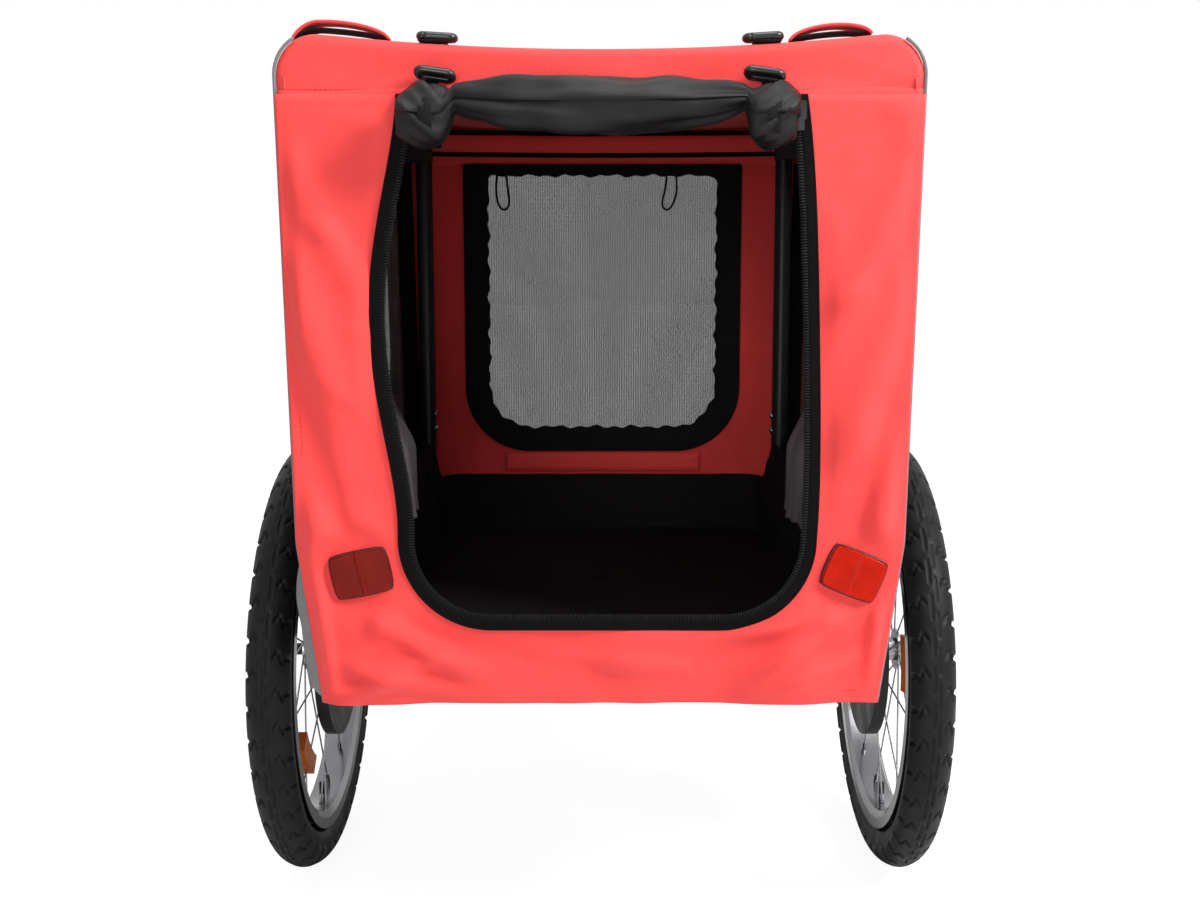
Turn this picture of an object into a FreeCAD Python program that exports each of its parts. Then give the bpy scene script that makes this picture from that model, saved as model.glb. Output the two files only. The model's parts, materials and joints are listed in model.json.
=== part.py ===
"""Dog bike trailer: two-wheeled fabric cabin on a folding tube frame, with a fold-under tow bar.

Frame: +X right seen from behind, +Y forward along the tow bar, +Z up, millimetres.
Everything is placed from the wheel axle line; the last lines shift the whole trailer so that the
origin lies on the ground under the middle of its bounding box.
"""
import FreeCAD, Part
import math
import os

V = FreeCAD.Vector
X_AXIS = V(1, 0, 0)
Y_AXIS = V(0, 1, 0)
Z_AXIS = V(0, 0, 1)

# Clearances
RUNNING = 0.05
SEAT = 0.3
CHEEK_GAP = 0.5

# Wheels
WHEEL_D = 500.0
TYRE_W = 50.0
TYRE_WALL = 4.5
BEAD_H = 11.0
BEAD_WALL = 4.5
GROOVE_W = 4.0
GROOVE_DEPTH = 2.0
LUG_COUNT = 36
LUG_W = 9.0
LUG_LENGTH = 13.0
LUG_H = 2.0
RIM_WALL = 2.2
RIM_BED_T = 9.0
SPOKE_COUNT = 20
SPOKE_D = 2.0
SPOKE_LEAN_DEG = 32.0
NIPPLE_D = 5.0
NIPPLE_L = 11.0
HALF_TRACK = 341.0
HUB_W = 30.0
HUB_BARREL_R = 13.5
FLANGE_R = 24.0
FLANGE_T = 3.0
BEARING_R = 11.0
BEARING_W = 8.0
AXLE_R = 6.0
AXLE_PLUG = 30.0
COLLAR_R = 8.5
BUTTON_R = 7.0
BUTTON_T = 6.5
BUTTON_ROD_R = 3.4
BUTTON_ROD_L = 32.0
BUTTON_TRAVEL = 4.0
WHEEL_REFLECTOR_L = 62.0
WHEEL_REFLECTOR_H = 22.0
WHEEL_REFLECTOR_T = 20.0
WHEEL_REFLECTOR_R = 138.0
LEFT_REFLECTOR_DEG = 135.0
RIGHT_REFLECTOR_DEG = 81.0
SPOKE_PHASE = 0.25
SPOKE_DISH = 2.0
SPOKE_INSET = 2.0
VALVE_R = 3.2
VALVE_L = 30.0

# Axle plates
PLATE_FACE = 324.0
PLATE_T = 14.0
PLATE_R = 100.0
PLATE_NECK_TOP = 400.0
PLATE_NECK_HALF = 16.0
BOSS_R = 20.0
BUSH_WALL = 4.0
RIB_T = 4.0
PLATE_BOLT_R = 4.0
PLATE_BOLT_HEAD_R = 7.0
PLATE_BOLT_HEAD_T = 4.0
NECK_BOLT_Z = 364.0

# Floor frame
FRAME_HALF_W = 253.0
FRAME_HALF_L = 300.0
FRAME_TUBE = 25.0
FRAME_WALL = 1.5
FRAME_TOP = 330.0
FRAME_CORNER_R = 30.0
RUNG_Y = 100.0
CROSS_TUBE_Y = 42.0
BOARD_T = 6.0
TUB_T = 2.0
TUB_HALF_W = 226.0
TUB_HALF_L = 326.0
TUB_END_TOP = 415.0
TUB_REAR_TOP = 368.0
TUB_SIDE_TOP = 478.0
TUB_HUMP_HALF_L = 190.0

# Corner posts and their hinges
POST_X = 242.0
POST_R = 11.0
POST_WALL = 1.2
LEFT_POST_Y = 280.0
RIGHT_POST_Y = 248.0
HINGE_Z = 355.0
CHEEK_T = 3.0
CHEEK_HALF = 12.0
HINGE_PIN_R = 4.0
PIN_HEAD_R = 7.0
PIN_HEAD_T = 3.0
CAP_H = 26.0

# Roof frame
RAIL_X = 266.0
RAIL_Z = 886.0
RAIL_R = 11.0
RAIL_HALF_L = 310.0
BAR_R = 8.0
BAR_Y = 313.0
BAR_DROP = 9.0
FITTING_L = 34.0
FITTING_WALL = 2.5
FITTING_REACH = 14.0
FITTING_END_Y = 322.0

# Fabric cover
COVER_T = 2.0
COVER_HALF_L = 330.0
HEM_Z = 292.0
HEM_HALF = 262.0
WAIST_Z = 445.0
WAIST_HALF = 283.0
SHOULDER_HALF = 291.0
ROOF_Z = 907.0
ROOF_SAG = 13.0
ROOF_CORNER_R = 37.0
SEAM_Z = 853.0
SIDE_WINDOW_HALF_L = 250.0
SIDE_WINDOW_LOW = 545.0
SIDE_WINDOW_TOP = 825.0
WINDOW_LAP = 10.0
MESH_T = 1.0
WINDOW_CORNER_R = 60.0
FRONT_WINDOW_HALF = 164.0
FRONT_WINDOW_LOW = 478.0
FRONT_WINDOW_TOP = 838.0
BORDER_W = 30.0
BORDER_T = 1.0

# Rear door opening, its zip and the rolled-up door
DOOR_TOP_X = 1.5
DOOR_TOP_HALF = 169.5
DOOR_MID_X = -5.5
DOOR_MID_HALF = 191.0
DOOR_MID_Z = 653.0
DOOR_LOW_X = 6.5
DOOR_LOW_HALF = 180.5
DOOR_SILL_Z = 377.0
DOOR_CORNER_R = 72.0
ZIP_W = 13.0
ZIP_T = 1.5
SLIDER_W = 10.0
SLIDER_L = 16.0
SLIDER_T = 5.0
TAB_L = 26.0
TAB_W = 6.0
TAB_T = 1.5
ROLL_HALF_L = 171.0
ROLL_R = 27.5
ROLL_NECK_R = 21.0
ROLL_SLACK = 0.93
ROLL_END_R = 24.5
ROLL_NECK_X = 150.0
ROLL_LIFT = 6.0
ROLL_Z = 832.0
STRAP_W = 25.0
STRAP_T = 1.6
STRAP_ROOF_L = 34.0
STRAP_ROOF_SETBACK = 3.0
BUCKLE_W = 38.0
BUCKLE_L = 16.0
BUCKLE_T = 8.0
BUCKLE_Z = 867.0

# Roof loops and rear reflectors
LOOP_X = 214.0
LOOP_SPAN = 78.0
LOOP_RISE = 15.0
LOOP_W = 22.0
LOOP_T = 1.8
LOOP_INSET = 8.0
REFLECTOR_W = 55.0
REFLECTOR_H = 42.0
REFLECTOR_T = 7.0
REFLECTOR_R = 7.0
REFLECTOR_X = 230.0
REFLECTOR_SHIFT = 6.5
REFLECTOR_Z = 417.0
REFLECTOR_LEFT_DEG = 12.0
REFLECTOR_RIGHT_DEG = 22.0

# Window tie cords
TIE_R = 1.5
TIE_X_LEFT = -140.0
TIE_X_RIGHT = 96.0
TIE_DROP = 48.0
TIE_HALF_W = 8.0

# Tow bar and hitch
TOW_X = -200.0
HITCH_X = -95.0
TOW_Z = 262.0
TOW_R = 14.0
TOW_WALL = 2.0
TOW_BEND_R = 140.0
TOW_STRAIGHT = 150.0
TOW_REACH = 496.0
TOW_PIVOT_Y = 287.0
TOW_PIN_R = 5.0
BOLT_HEAD = 1.7
TOW_CHEEK_T = 4.0
TOW_CHEEK_HALF = 16.0
KNOB_R = 20.0
KNOB_T = 16.0
LOBE_AT = 0.72
LOBE_SIZE = 0.28
KNOB_LOBES = 6
FLEX_L = 54.0
FLEX_R = 18.0
FLEX_WAIST_R = 14.0
FORK_T = 4.0
FORK_L = 45.0
FORK_HALF_H = 15.0
HITCH_EYE_R = 12.0
HITCH_EYE_W = 12.0
HITCH_PIN_R = 4.0
HITCH_PIN_SETBACK = 15.0
HITCH_PLATE_T = 4.0
HITCH_REACH = 48.0
AXLE_HOLE_R = 5.25
RING_R = 11.0
RING_WIRE_R = 1.3

# Sizes that follow from the ones above
AXLE_Z = WHEEL_D / 2
HUB_HALF = HUB_W / 2
HUB_INNER = HALF_TRACK - HUB_HALF
HUB_OUTER = HALF_TRACK + HUB_HALF
TYRE_R = TYRE_W / 2
TYRE_MID_R = AXLE_Z - TYRE_R
# The rim reaches this share of the tyre radius towards its middle, and this share of its width.
RIM_DEPTH = 0.7
RIM_SHARE = 0.73
RIM_FLANGE_R = TYRE_MID_R - RIM_DEPTH * TYRE_R
RIM_BED_R = RIM_FLANGE_R - BEAD_H + SEAT
RIM_HALF_W = RIM_SHARE * TYRE_R + RIM_WALL
PLATE_BACK = PLATE_FACE - PLATE_T
FRAME_BOTTOM = FRAME_TOP - FRAME_TUBE
CROSS_TUBE_BOTTOM = FRAME_BOTTOM - FRAME_TUBE
BOARD_TOP = FRAME_TOP + BOARD_T
POST_TOP = RAIL_Z - RAIL_R - SEAT
BAR_Z = RAIL_Z - BAR_DROP
ROLL_Y = -COVER_HALF_L - STRAP_T - 2 * SEAT - ROLL_R
TOW_END_Y = TOW_PIVOT_Y + TOW_REACH
FORK_Y = TOW_END_Y + FLEX_L
HITCH_PIN_Y = FORK_Y + FORK_L - HITCH_PIN_SETBACK
HITCH_TIP_Y = HITCH_PIN_Y + HITCH_REACH + HITCH_EYE_R
REAR_REACH = ROLL_R - ROLL_Y
CENTRE_SHIFT = (REAR_REACH - HITCH_TIP_Y) / 2


def box(x0, x1, y0, y1, z0, z1):
    """Box between two corners."""
    return Part.makeBox(x1 - x0, y1 - y0, z1 - z0, V(x0, y0, z0))


def rod(radius, start, end):
    """Round bar between two points."""
    return Part.makeCylinder(radius, (end - start).Length, start, end - start)


def tube(radius, wall, start, end):
    """Round tube between two points."""
    return rod(radius, start, end).cut(rod(radius - wall, start, end))


def polygon(points):
    """Closed flat face through points."""
    return Part.Face(Part.makePolygon(points + [points[0]]))


def mirror_x(shape):
    """Mirror image across the middle plane of the trailer."""
    return shape.mirror(V(0, 0, 0), X_AXIS)


def group(shapes):
    """Separate solids kept together in one node."""
    return Part.makeCompound(shapes)


def wheel_revolve(face):
    """Turn a section drawn at X, radius Z once round the left or right wheel axis."""
    return face.revolve(V(0, 0, 0), X_AXIS, 360)


def at_wheel(shape, side):
    """Move a part drawn round the origin to its wheel; side is -1 on the left and 1 on the right."""
    turned = shape if side > 0 else mirror_x(shape)
    return turned.translated(V(side * HALF_TRACK, 0, AXLE_Z))


def disc(radius, x0, x1):
    """Round disc on the wheel axis between two X places."""
    return Part.makeCylinder(radius, x1 - x0, V(x0, 0, 0), X_AXIS)


def ring(outer, inner, x0, x1):
    """Flat ring on the wheel axis."""
    return disc(outer, x0, x1).cut(disc(inner, x0, x1))


# Wheel parts, drawn round the origin with the outside of the wheel at +X


def tyre():
    """Pneumatic tyre, open at the bead, with a centre groove and slanted shoulder lugs."""
    bead_half = RIM_HALF_W - RIM_WALL - SEAT
    bead_low = RIM_BED_R + SEAT
    carcass_r = TYRE_R - LUG_H
    carcass = Part.makeTorus(TYRE_MID_R, carcass_r, V(0, 0, 0), X_AXIS)
    carcass = carcass.fuse(ring(TYRE_MID_R, bead_low, -bead_half, bead_half))
    cavity = Part.makeTorus(TYRE_MID_R, carcass_r - TYRE_WALL, V(0, 0, 0), X_AXIS)
    mouth = bead_half - BEAD_WALL
    carcass = carcass.cut([cavity, ring(TYRE_MID_R, bead_low - 1, -mouth, mouth)])
    crown = ring(AXLE_Z, AXLE_Z - 3 * LUG_H, -LUG_LENGTH, LUG_LENGTH)
    groove = ring(AXLE_Z + 1, AXLE_Z - GROOVE_DEPTH, -GROOVE_W / 2, GROOVE_W / 2)
    crown = crown.common(Part.makeTorus(TYRE_MID_R, TYRE_R, V(0, 0, 0), X_AXIS)).cut(groove)
    step = 360.0 / LUG_COUNT
    cutter = box(-TYRE_R, -0.01, -LUG_W / 4, LUG_W / 4, AXLE_Z - LUG_H, AXLE_Z + 1)
    cutter.rotate(V(0, 0, AXLE_Z), Z_AXIS, 35)
    cuts = []
    for i in range(LUG_COUNT):
        left = cutter.copy()
        left.rotate(V(0, 0, 0), X_AXIS, i * step)
        right = mirror_x(cutter)
        right.rotate(V(0, 0, 0), X_AXIS, (i + 0.5) * step)
        cuts += [left, right]
    return carcass.fuse(crown.cut(cuts)).removeSplitter()


def inner_tube():
    """Air tube inside the tyre."""
    radius = TYRE_R - LUG_H - TYRE_WALL - SEAT
    return Part.makeTorus(TYRE_MID_R, radius, V(0, 0, 0), X_AXIS)


def rim():
    """Single-wall rim with a round hollow bed and two hooked flanges."""
    low = RIM_BED_R - RIM_BED_T
    bed = polygon([V(-RIM_HALF_W, 0, RIM_BED_R), V(-RIM_HALF_W + 5, 0, low), V(RIM_HALF_W - 5, 0, low),
                   V(RIM_HALF_W, 0, RIM_BED_R)])
    shell = wheel_revolve(bed)
    for side in (-1, 1):
        outer = side * RIM_HALF_W
        wall = ring(RIM_FLANGE_R, RIM_BED_R - 1, min(outer, outer - side * RIM_WALL),
                    max(outer, outer - side * RIM_WALL))
        shell = shell.fuse(wall)
    valve_hole = rod(VALVE_R + RUNNING, V(0, 0, -low + 1), V(0, 0, -RIM_FLANGE_R))
    return shell.cut(valve_hole).removeSplitter()


def spoke_line(i):
    """Both ends of spoke i: at its hub flange, leaning one way on each side, and at the rim."""
    side = 1 if i % 2 else -1
    low = RIM_BED_R - RIM_BED_T - SEAT
    angle = 2 * math.pi * (i + SPOKE_PHASE) / SPOKE_COUNT
    lean = angle + side * math.radians(SPOKE_LEAN_DEG)
    root = FLANGE_R - SPOKE_INSET
    start = V(side * (HUB_HALF - FLANGE_T), root * math.sin(lean), root * math.cos(lean))
    end = V(side * SPOKE_DISH, low * math.sin(angle), low * math.cos(angle))
    return start, end


def spokes():
    """Straight spokes with nipples, leaning one way on each flange."""
    inside = disc(RIM_BED_R - RIM_BED_T - SEAT, -TYRE_W, TYRE_W)
    out = []
    for i in range(SPOKE_COUNT):
        start, end = spoke_line(i)
        along = (end - start).normalize()
        wire = rod(SPOKE_D / 2, start + along * SPOKE_D, end - along)
        nipple = rod(NIPPLE_D / 2, end - along * NIPPLE_L, end).common(inside)
        out.append(wire.fuse(nipple).removeSplitter())
    return group(out)


def hub():
    """Hub shell with two spoke flanges and a bearing seat at each end."""
    shell = disc(HUB_BARREL_R, -HUB_HALF, HUB_HALF)
    for side in (-1, 1):
        middle = side * (HUB_HALF - FLANGE_T)
        shell = shell.fuse(disc(FLANGE_R, middle - FLANGE_T / 2, middle + FLANGE_T / 2))
    shell = shell.cut(disc(AXLE_R + 2, -HUB_HALF, HUB_HALF))
    for x0 in (-HUB_HALF, HUB_HALF - BEARING_W):
        shell = shell.cut(disc(BEARING_R, x0, x0 + BEARING_W))
    return shell.removeSplitter()


def bearings():
    """Two sealed ball bearings."""
    first = ring(BEARING_R, AXLE_R + RUNNING, -HUB_HALF, BEARING_W - HUB_HALF)
    return group([first, first.translated(V(HUB_W - BEARING_W, 0, 0))])


def wheel_reflector(turn):
    """Spoke reflector: a curved plate slotted over the spokes it is clipped on, turned back from the top."""
    plate = ring(WHEEL_REFLECTOR_R + WHEEL_REFLECTOR_H / 2, WHEEL_REFLECTOR_R - WHEEL_REFLECTOR_H / 2,
                 -WHEEL_REFLECTOR_T / 2, WHEEL_REFLECTOR_T / 2)
    half = WHEEL_REFLECTOR_L / 2
    plate = plate.common(box(-WHEEL_REFLECTOR_T, WHEEL_REFLECTOR_T, -half, half, 0, AXLE_Z))
    plate.rotate(V(0, 0, 0), X_AXIS, turn)
    for i in range(SPOKE_COUNT):
        start, end = spoke_line(i)
        plate = plate.cut(rod(SPOKE_D / 2 + SEAT, start, end))
    return max(plate.Solids, key=lambda solid: solid.Volume)


def valve():
    """Valve stem through the rim."""
    top = RIM_BED_R + SEAT
    return rod(VALVE_R, V(0, 0, -top), V(0, 0, -top + VALVE_L))



def axle_pin(side):
    """Axle: plugged into the plate's bush, with a collar against the bearing, drilled for the button."""
    start = PLATE_FACE - AXLE_PLUG
    pin = disc(AXLE_R, start, HUB_OUTER)
    pin = pin.fuse(disc(COLLAR_R, PLATE_FACE + SEAT, HUB_INNER - SEAT))
    pin = pin.cut(disc(BUTTON_ROD_R + RUNNING, HUB_OUTER - BUTTON_ROD_L - BUTTON_TRAVEL, HUB_OUTER))
    pin = pin.removeSplitter()
    return (pin if side > 0 else mirror_x(pin)).translated(V(0, 0, AXLE_Z))


def axle_button(side):
    """Release button: a domed cap on a rod that runs inside the axle."""
    cap_x = HUB_OUTER + BUTTON_TRAVEL + SEAT
    cap = disc(BUTTON_R, cap_x, cap_x + BUTTON_T)
    cap = cap.makeFillet(BUTTON_T / 3, [cap.Edges[0]])
    button = cap.fuse(disc(BUTTON_ROD_R, HUB_OUTER - BUTTON_ROD_L, cap_x + 1)).removeSplitter()
    return (button if side > 0 else mirror_x(button)).translated(V(0, 0, AXLE_Z))


# Axle plates and floor frame


def axle_plate(side):
    """Moulded plate: round round the axle, a neck above, a rim rib and a boss for the bush."""
    def outline(grow):
        dish = Part.makeCylinder(PLATE_R + grow, PLATE_T, V(PLATE_BACK, 0, AXLE_Z), X_AXIS)
        shoulder = PLATE_R + grow
        neck = polygon([V(PLATE_BACK, -shoulder, AXLE_Z), V(PLATE_BACK, shoulder, AXLE_Z),
                        V(PLATE_BACK, PLATE_NECK_HALF + grow, PLATE_NECK_TOP + grow),
                        V(PLATE_BACK, -PLATE_NECK_HALF - grow, PLATE_NECK_TOP + grow)])
        return dish.fuse(neck.extrude(V(PLATE_T, 0, 0)))

    plate = outline(0).removeSplitter()
    pocket = outline(-RIB_T).translated(V(PLATE_T / 2, 0, 0))
    boss = Part.makeCylinder(BOSS_R, AXLE_PLUG, V(PLATE_FACE - AXLE_PLUG, 0, AXLE_Z), X_AXIS)
    spine = box(PLATE_BACK, PLATE_FACE, -RIB_T / 2, RIB_T / 2, AXLE_Z, PLATE_NECK_TOP - RIB_T / 2)
    pads = [Part.makeCylinder(PLATE_BOLT_HEAD_R + RIB_T / 2, PLATE_T, V(PLATE_BACK, y, z), X_AXIS)
            for y, z in plate_bolt_places()]
    plate = plate.cut(pocket).fuse([boss, spine] + pads)
    bore = AXLE_R + RUNNING + BUSH_WALL
    plate = plate.cut(Part.makeCylinder(bore, AXLE_PLUG, V(PLATE_FACE - AXLE_PLUG, 0, AXLE_Z), X_AXIS))
    for y, z in plate_bolt_places():
        plate = plate.cut(Part.makeCylinder(PLATE_BOLT_R, PLATE_T, V(PLATE_BACK, y, z), X_AXIS))
    plate = plate.removeSplitter()
    return plate if side > 0 else mirror_x(plate)


def plate_bolt_places():
    """Bolts into the ends of the two cross tubes, and one in the neck."""
    middle = CROSS_TUBE_BOTTOM + FRAME_TUBE / 2
    return [(-CROSS_TUBE_Y, middle), (CROSS_TUBE_Y, middle), (0, NECK_BOLT_Z)]


def axle_bush(side):
    """Steel bush pressed into the plate's boss."""
    outer = AXLE_R + RUNNING + BUSH_WALL
    bush = ring(outer, AXLE_R + RUNNING, PLATE_FACE - AXLE_PLUG, PLATE_FACE)
    return (bush if side > 0 else mirror_x(bush)).translated(V(0, 0, AXLE_Z))


def plate_bolts():
    """Domed bolts of both plates."""
    out = []
    for y, z in plate_bolt_places():
        head = Part.makeCylinder(PLATE_BOLT_HEAD_R, PLATE_BOLT_HEAD_T, V(PLATE_FACE, y, z), X_AXIS)
        head = head.makeFillet(PLATE_BOLT_HEAD_T / 2, [head.Edges[0]])
        shank = Part.makeCylinder(PLATE_BOLT_R, PLATE_T, V(PLATE_BACK, y, z), X_AXIS)
        bolt = head.fuse(shank).removeSplitter()
        out += [bolt, mirror_x(bolt)]
    return group(out)


def square_tube(x0, x1, y0, y1, z0, z1):
    """Square tube along X with open ends."""
    wall = FRAME_WALL
    return box(x0, x1, y0, y1, z0, z1).cut(box(x0, x1, y0 + wall, y1 - wall, z0 + wall, z1 - wall))


def rounded_plan(half_w, half_l, radius, z0, z1):
    """Upright block with a rounded-rectangle plan."""
    block = box(-half_w, half_w, -half_l, half_l, z0, z1)
    upright = [e for e in block.Edges if abs(e.tangentAt(e.FirstParameter).z) > 0.9]
    return block.makeFillet(radius, upright)


def floor_frame():
    """Ring of bent square tube, hollow all round."""
    inset = FRAME_WALL
    outer = rounded_plan(FRAME_HALF_W, FRAME_HALF_L, FRAME_CORNER_R, FRAME_BOTTOM, FRAME_TOP)
    hole_r = max(FRAME_CORNER_R - FRAME_TUBE, 1)
    outer = outer.cut(rounded_plan(FRAME_HALF_W - FRAME_TUBE, FRAME_HALF_L - FRAME_TUBE, hole_r,
                                   FRAME_BOTTOM, FRAME_TOP))
    core = rounded_plan(FRAME_HALF_W - inset, FRAME_HALF_L - inset, FRAME_CORNER_R - inset,
                        FRAME_BOTTOM + inset, FRAME_TOP - inset)
    core = core.cut(rounded_plan(FRAME_HALF_W - FRAME_TUBE + inset, FRAME_HALF_L - FRAME_TUBE + inset,
                                 hole_r + inset, FRAME_BOTTOM + inset, FRAME_TOP - inset))
    return outer.cut(core)


def floor_rungs():
    """Rungs inside the ring that carry the floor board."""
    half = FRAME_HALF_W - FRAME_TUBE
    return [square_tube(-half, half, y - FRAME_TUBE / 2, y + FRAME_TUBE / 2, FRAME_BOTTOM, FRAME_TOP)
            for y in (-RUNG_Y, RUNG_Y)]


def axle_cross_tubes():
    """Tubes under the ring from one axle plate to the other."""
    return [square_tube(-PLATE_BACK, PLATE_BACK, y - FRAME_TUBE / 2, y + FRAME_TUBE / 2,
                        CROSS_TUBE_BOTTOM, FRAME_BOTTOM) for y in (-CROSS_TUBE_Y, CROSS_TUBE_Y)]


def floor_board():
    """Floor board on the ring and rungs, clear of the hinge brackets."""
    half = POST_X - CHEEK_HALF - SEAT - TUB_T
    return rounded_plan(half, FRAME_HALF_L, FRAME_CORNER_R, FRAME_TOP, BOARD_TOP)


def tub_block(inset, bottom, top):
    """Plain block of the tub's plan."""
    return rounded_plan(TUB_HALF_W - inset, TUB_HALF_L - inset, FRAME_CORNER_R - inset, bottom, top)


def floor_tub():
    """Black fabric tray: low at the rear sill, higher in front and humped beside the wheels."""
    tray = tub_block(0, BOARD_TOP, TUB_SIDE_TOP).cut(tub_block(TUB_T, BOARD_TOP + TUB_T, TUB_SIDE_TOP))
    far = TUB_HALF_L + 1
    hump = TUB_HUMP_HALF_L
    line = [V(0, -far, BOARD_TOP), V(0, far, BOARD_TOP), V(0, far, TUB_END_TOP), V(0, hump, TUB_END_TOP)]
    hump_top = Part.makePolygon(line)
    arch = Part.Arc(V(0, hump, TUB_END_TOP), V(0, 0, TUB_SIDE_TOP), V(0, -hump, TUB_END_TOP)).toShape()
    rest = Part.makePolygon([V(0, -hump, TUB_END_TOP), V(0, 30 - TUB_HALF_L, TUB_END_TOP),
                             V(0, -TUB_HALF_L + TUB_T, TUB_REAR_TOP), V(0, -far, TUB_REAR_TOP),
                             V(0, -far, BOARD_TOP)])
    profile = Part.Face(Part.Wire(hump_top.Edges + [arch] + rest.Edges))
    keep = profile.extrude(V(2 * far, 0, 0)).translated(V(-far, 0, 0))
    return tray.common(keep)


# Folding posts and the roof frame


def hinge_bracket(x_side, y):
    """Pair of cheeks on a foot, round one post's lower end."""
    x = x_side * POST_X
    near = POST_R + CHEEK_GAP
    foot = box(x - CHEEK_HALF, x + CHEEK_HALF, y - near - CHEEK_T, y + near + CHEEK_T,
               FRAME_TOP, FRAME_TOP + CHEEK_T)
    parts = [foot]
    for y0 in (y - near - CHEEK_T, y + near):
        cheek = box(x - CHEEK_HALF, x + CHEEK_HALF, y0, y0 + CHEEK_T, FRAME_TOP, HINGE_Z)
        round_top = Part.makeCylinder(CHEEK_HALF, CHEEK_T, V(x, y0, HINGE_Z), Y_AXIS)
        parts.append(cheek.fuse(round_top))
    bracket = parts[0].fuse(parts[1:])
    pin = Part.makeCylinder(HINGE_PIN_R, 4 * near, V(x, y - 2 * near, HINGE_Z), Y_AXIS)
    return bracket.cut(pin).removeSplitter()


def hinge_pin(x_side, y):
    """Headed hinge pin through a bracket."""
    x = x_side * POST_X
    half = POST_R + CHEEK_GAP + CHEEK_T
    pin = Part.makeCylinder(HINGE_PIN_R, 2 * half + 1, V(x, y - half, HINGE_Z), Y_AXIS)
    head = Part.makeCylinder(PIN_HEAD_R, PIN_HEAD_T, V(x, y - half - PIN_HEAD_T, HINGE_Z), Y_AXIS)
    return pin.fuse(head).removeSplitter()


def post_places():
    """Side and Y of every post."""
    return [(-1, -LEFT_POST_Y), (-1, LEFT_POST_Y), (1, -RIGHT_POST_Y), (1, RIGHT_POST_Y)]


def post(x_side, y):
    """Round post with a rounded lower end and a cross hole for its hinge pin."""
    x = x_side * POST_X
    body = rod(POST_R, V(x, y, HINGE_Z), V(x, y, POST_TOP - CAP_H))
    body = body.fuse(Part.makeSphere(POST_R, V(x, y, HINGE_Z)))
    inner = rod(POST_R - POST_WALL, V(x, y, HINGE_Z + POST_R), V(x, y, POST_TOP))
    cross = Part.makeCylinder(HINGE_PIN_R + RUNNING, 4 * POST_R, V(x, y - 2 * POST_R, HINGE_Z), Y_AXIS)
    return body.cut(inner).cut(cross).removeSplitter()


def post_cap(x_side, y):
    """Cap with a slanted seat under the inner side of the roof rail."""
    x = POST_X
    low = POST_TOP - CAP_H
    plug = rod(POST_R - POST_WALL, V(x, y, low - CAP_H), V(x, y, low))
    head = box(x - POST_R, RAIL_X, y - POST_R, y + POST_R, low, RAIL_Z)
    slope = RAIL_R / math.sqrt(2)
    foot = V(RAIL_X - slope - SEAT, y - POST_R, RAIL_Z - slope - SEAT)
    reach = 2 * CAP_H
    beyond = polygon([foot + V(-reach, 0, reach), foot + V(reach, 0, -reach), foot + V(reach, 0, reach)])
    head = head.cut(beyond.extrude(V(0, 2 * POST_R, 0)))
    cap = plug.fuse(head).removeSplitter()
    return cap if x_side > 0 else mirror_x(cap)


def roof_rails():
    """Side rails of the roof frame."""
    rails = [tube(RAIL_R, POST_WALL, V(s * RAIL_X, -RAIL_HALF_L, RAIL_Z), V(s * RAIL_X, RAIL_HALF_L, RAIL_Z))
             for s in (-1, 1)]
    return group(rails)


def roof_bars():
    """Cross bars of the roof frame, a little lower than the rails."""
    half = RAIL_X - RAIL_R - SEAT
    return group([tube(BAR_R, POST_WALL, V(-half, y, BAR_Z), V(half, y, BAR_Z)) for y in (-BAR_Y, BAR_Y)])


def roof_fittings():
    """Corner elbows: a socket for the rail's end and one for the bar's end."""
    rail_r = RAIL_R + FITTING_WALL
    bar_r = BAR_R + FITTING_WALL
    bar_end = RAIL_X - RAIL_R - SEAT
    rail_from = RAIL_HALF_L - FITTING_REACH
    elbow = rod(rail_r, V(RAIL_X, rail_from, RAIL_Z), V(RAIL_X, FITTING_END_Y, RAIL_Z))
    elbow = elbow.fuse(rod(bar_r, V(bar_end - FITTING_L, BAR_Y, BAR_Z), V(RAIL_X, BAR_Y, BAR_Z)))
    elbow = elbow.cut(rod(RAIL_R, V(RAIL_X, rail_from, RAIL_Z), V(RAIL_X, RAIL_HALF_L, RAIL_Z)))
    elbow = elbow.cut(rod(BAR_R, V(bar_end - FITTING_L, BAR_Y, BAR_Z), V(bar_end, BAR_Y, BAR_Z)))
    elbow = elbow.removeSplitter()
    rear = elbow.mirror(V(0, 0, 0), Y_AXIS)
    return group([elbow, rear, mirror_x(elbow), mirror_x(rear)])


# Fabric cover


def cover_outline(inset):
    """Cross-section of the cover at one distance inside its outer face, as a closed face."""
    hem = HEM_HALF - inset
    waist = WAIST_HALF - inset
    shoulder = SHOULDER_HALF - inset
    radius = ROOF_CORNER_R - inset
    top = ROOF_Z - inset
    turn_x = shoulder - radius
    turn_z = top - radius
    bend = radius * math.sqrt(0.5)
    right = [V(hem, 0, HEM_Z), V(waist, 0, WAIST_Z), V(shoulder, 0, turn_z)]
    left = [V(-p.x, 0, p.z) for p in reversed(right)]
    arc_right = Part.Arc(right[-1], V(turn_x + bend, 0, turn_z + bend), V(turn_x, 0, top))
    roof = Part.Arc(V(turn_x, 0, top), V(0, 0, top - ROOF_SAG), V(-turn_x, 0, top))
    arc_left = Part.Arc(V(-turn_x, 0, top), V(-turn_x - bend, 0, turn_z + bend), left[0])
    edges = Part.makePolygon([left[-1]] + right).Edges
    edges += [arc_right.toShape(), roof.toShape(), arc_left.toShape()]
    return Part.Face(Part.Wire(edges + Part.makePolygon(left).Edges))


def cover_block(inset, half_l):
    """Cover's cross-section drawn out along the trailer."""
    return cover_outline(inset).translated(V(0, -half_l, 0)).extrude(V(0, 2 * half_l, 0))


def slab(z0, z1):
    """Everything between two heights."""
    return box(-WHEEL_D, WHEEL_D, -WHEEL_D, WHEEL_D, z0, z1)


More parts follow.
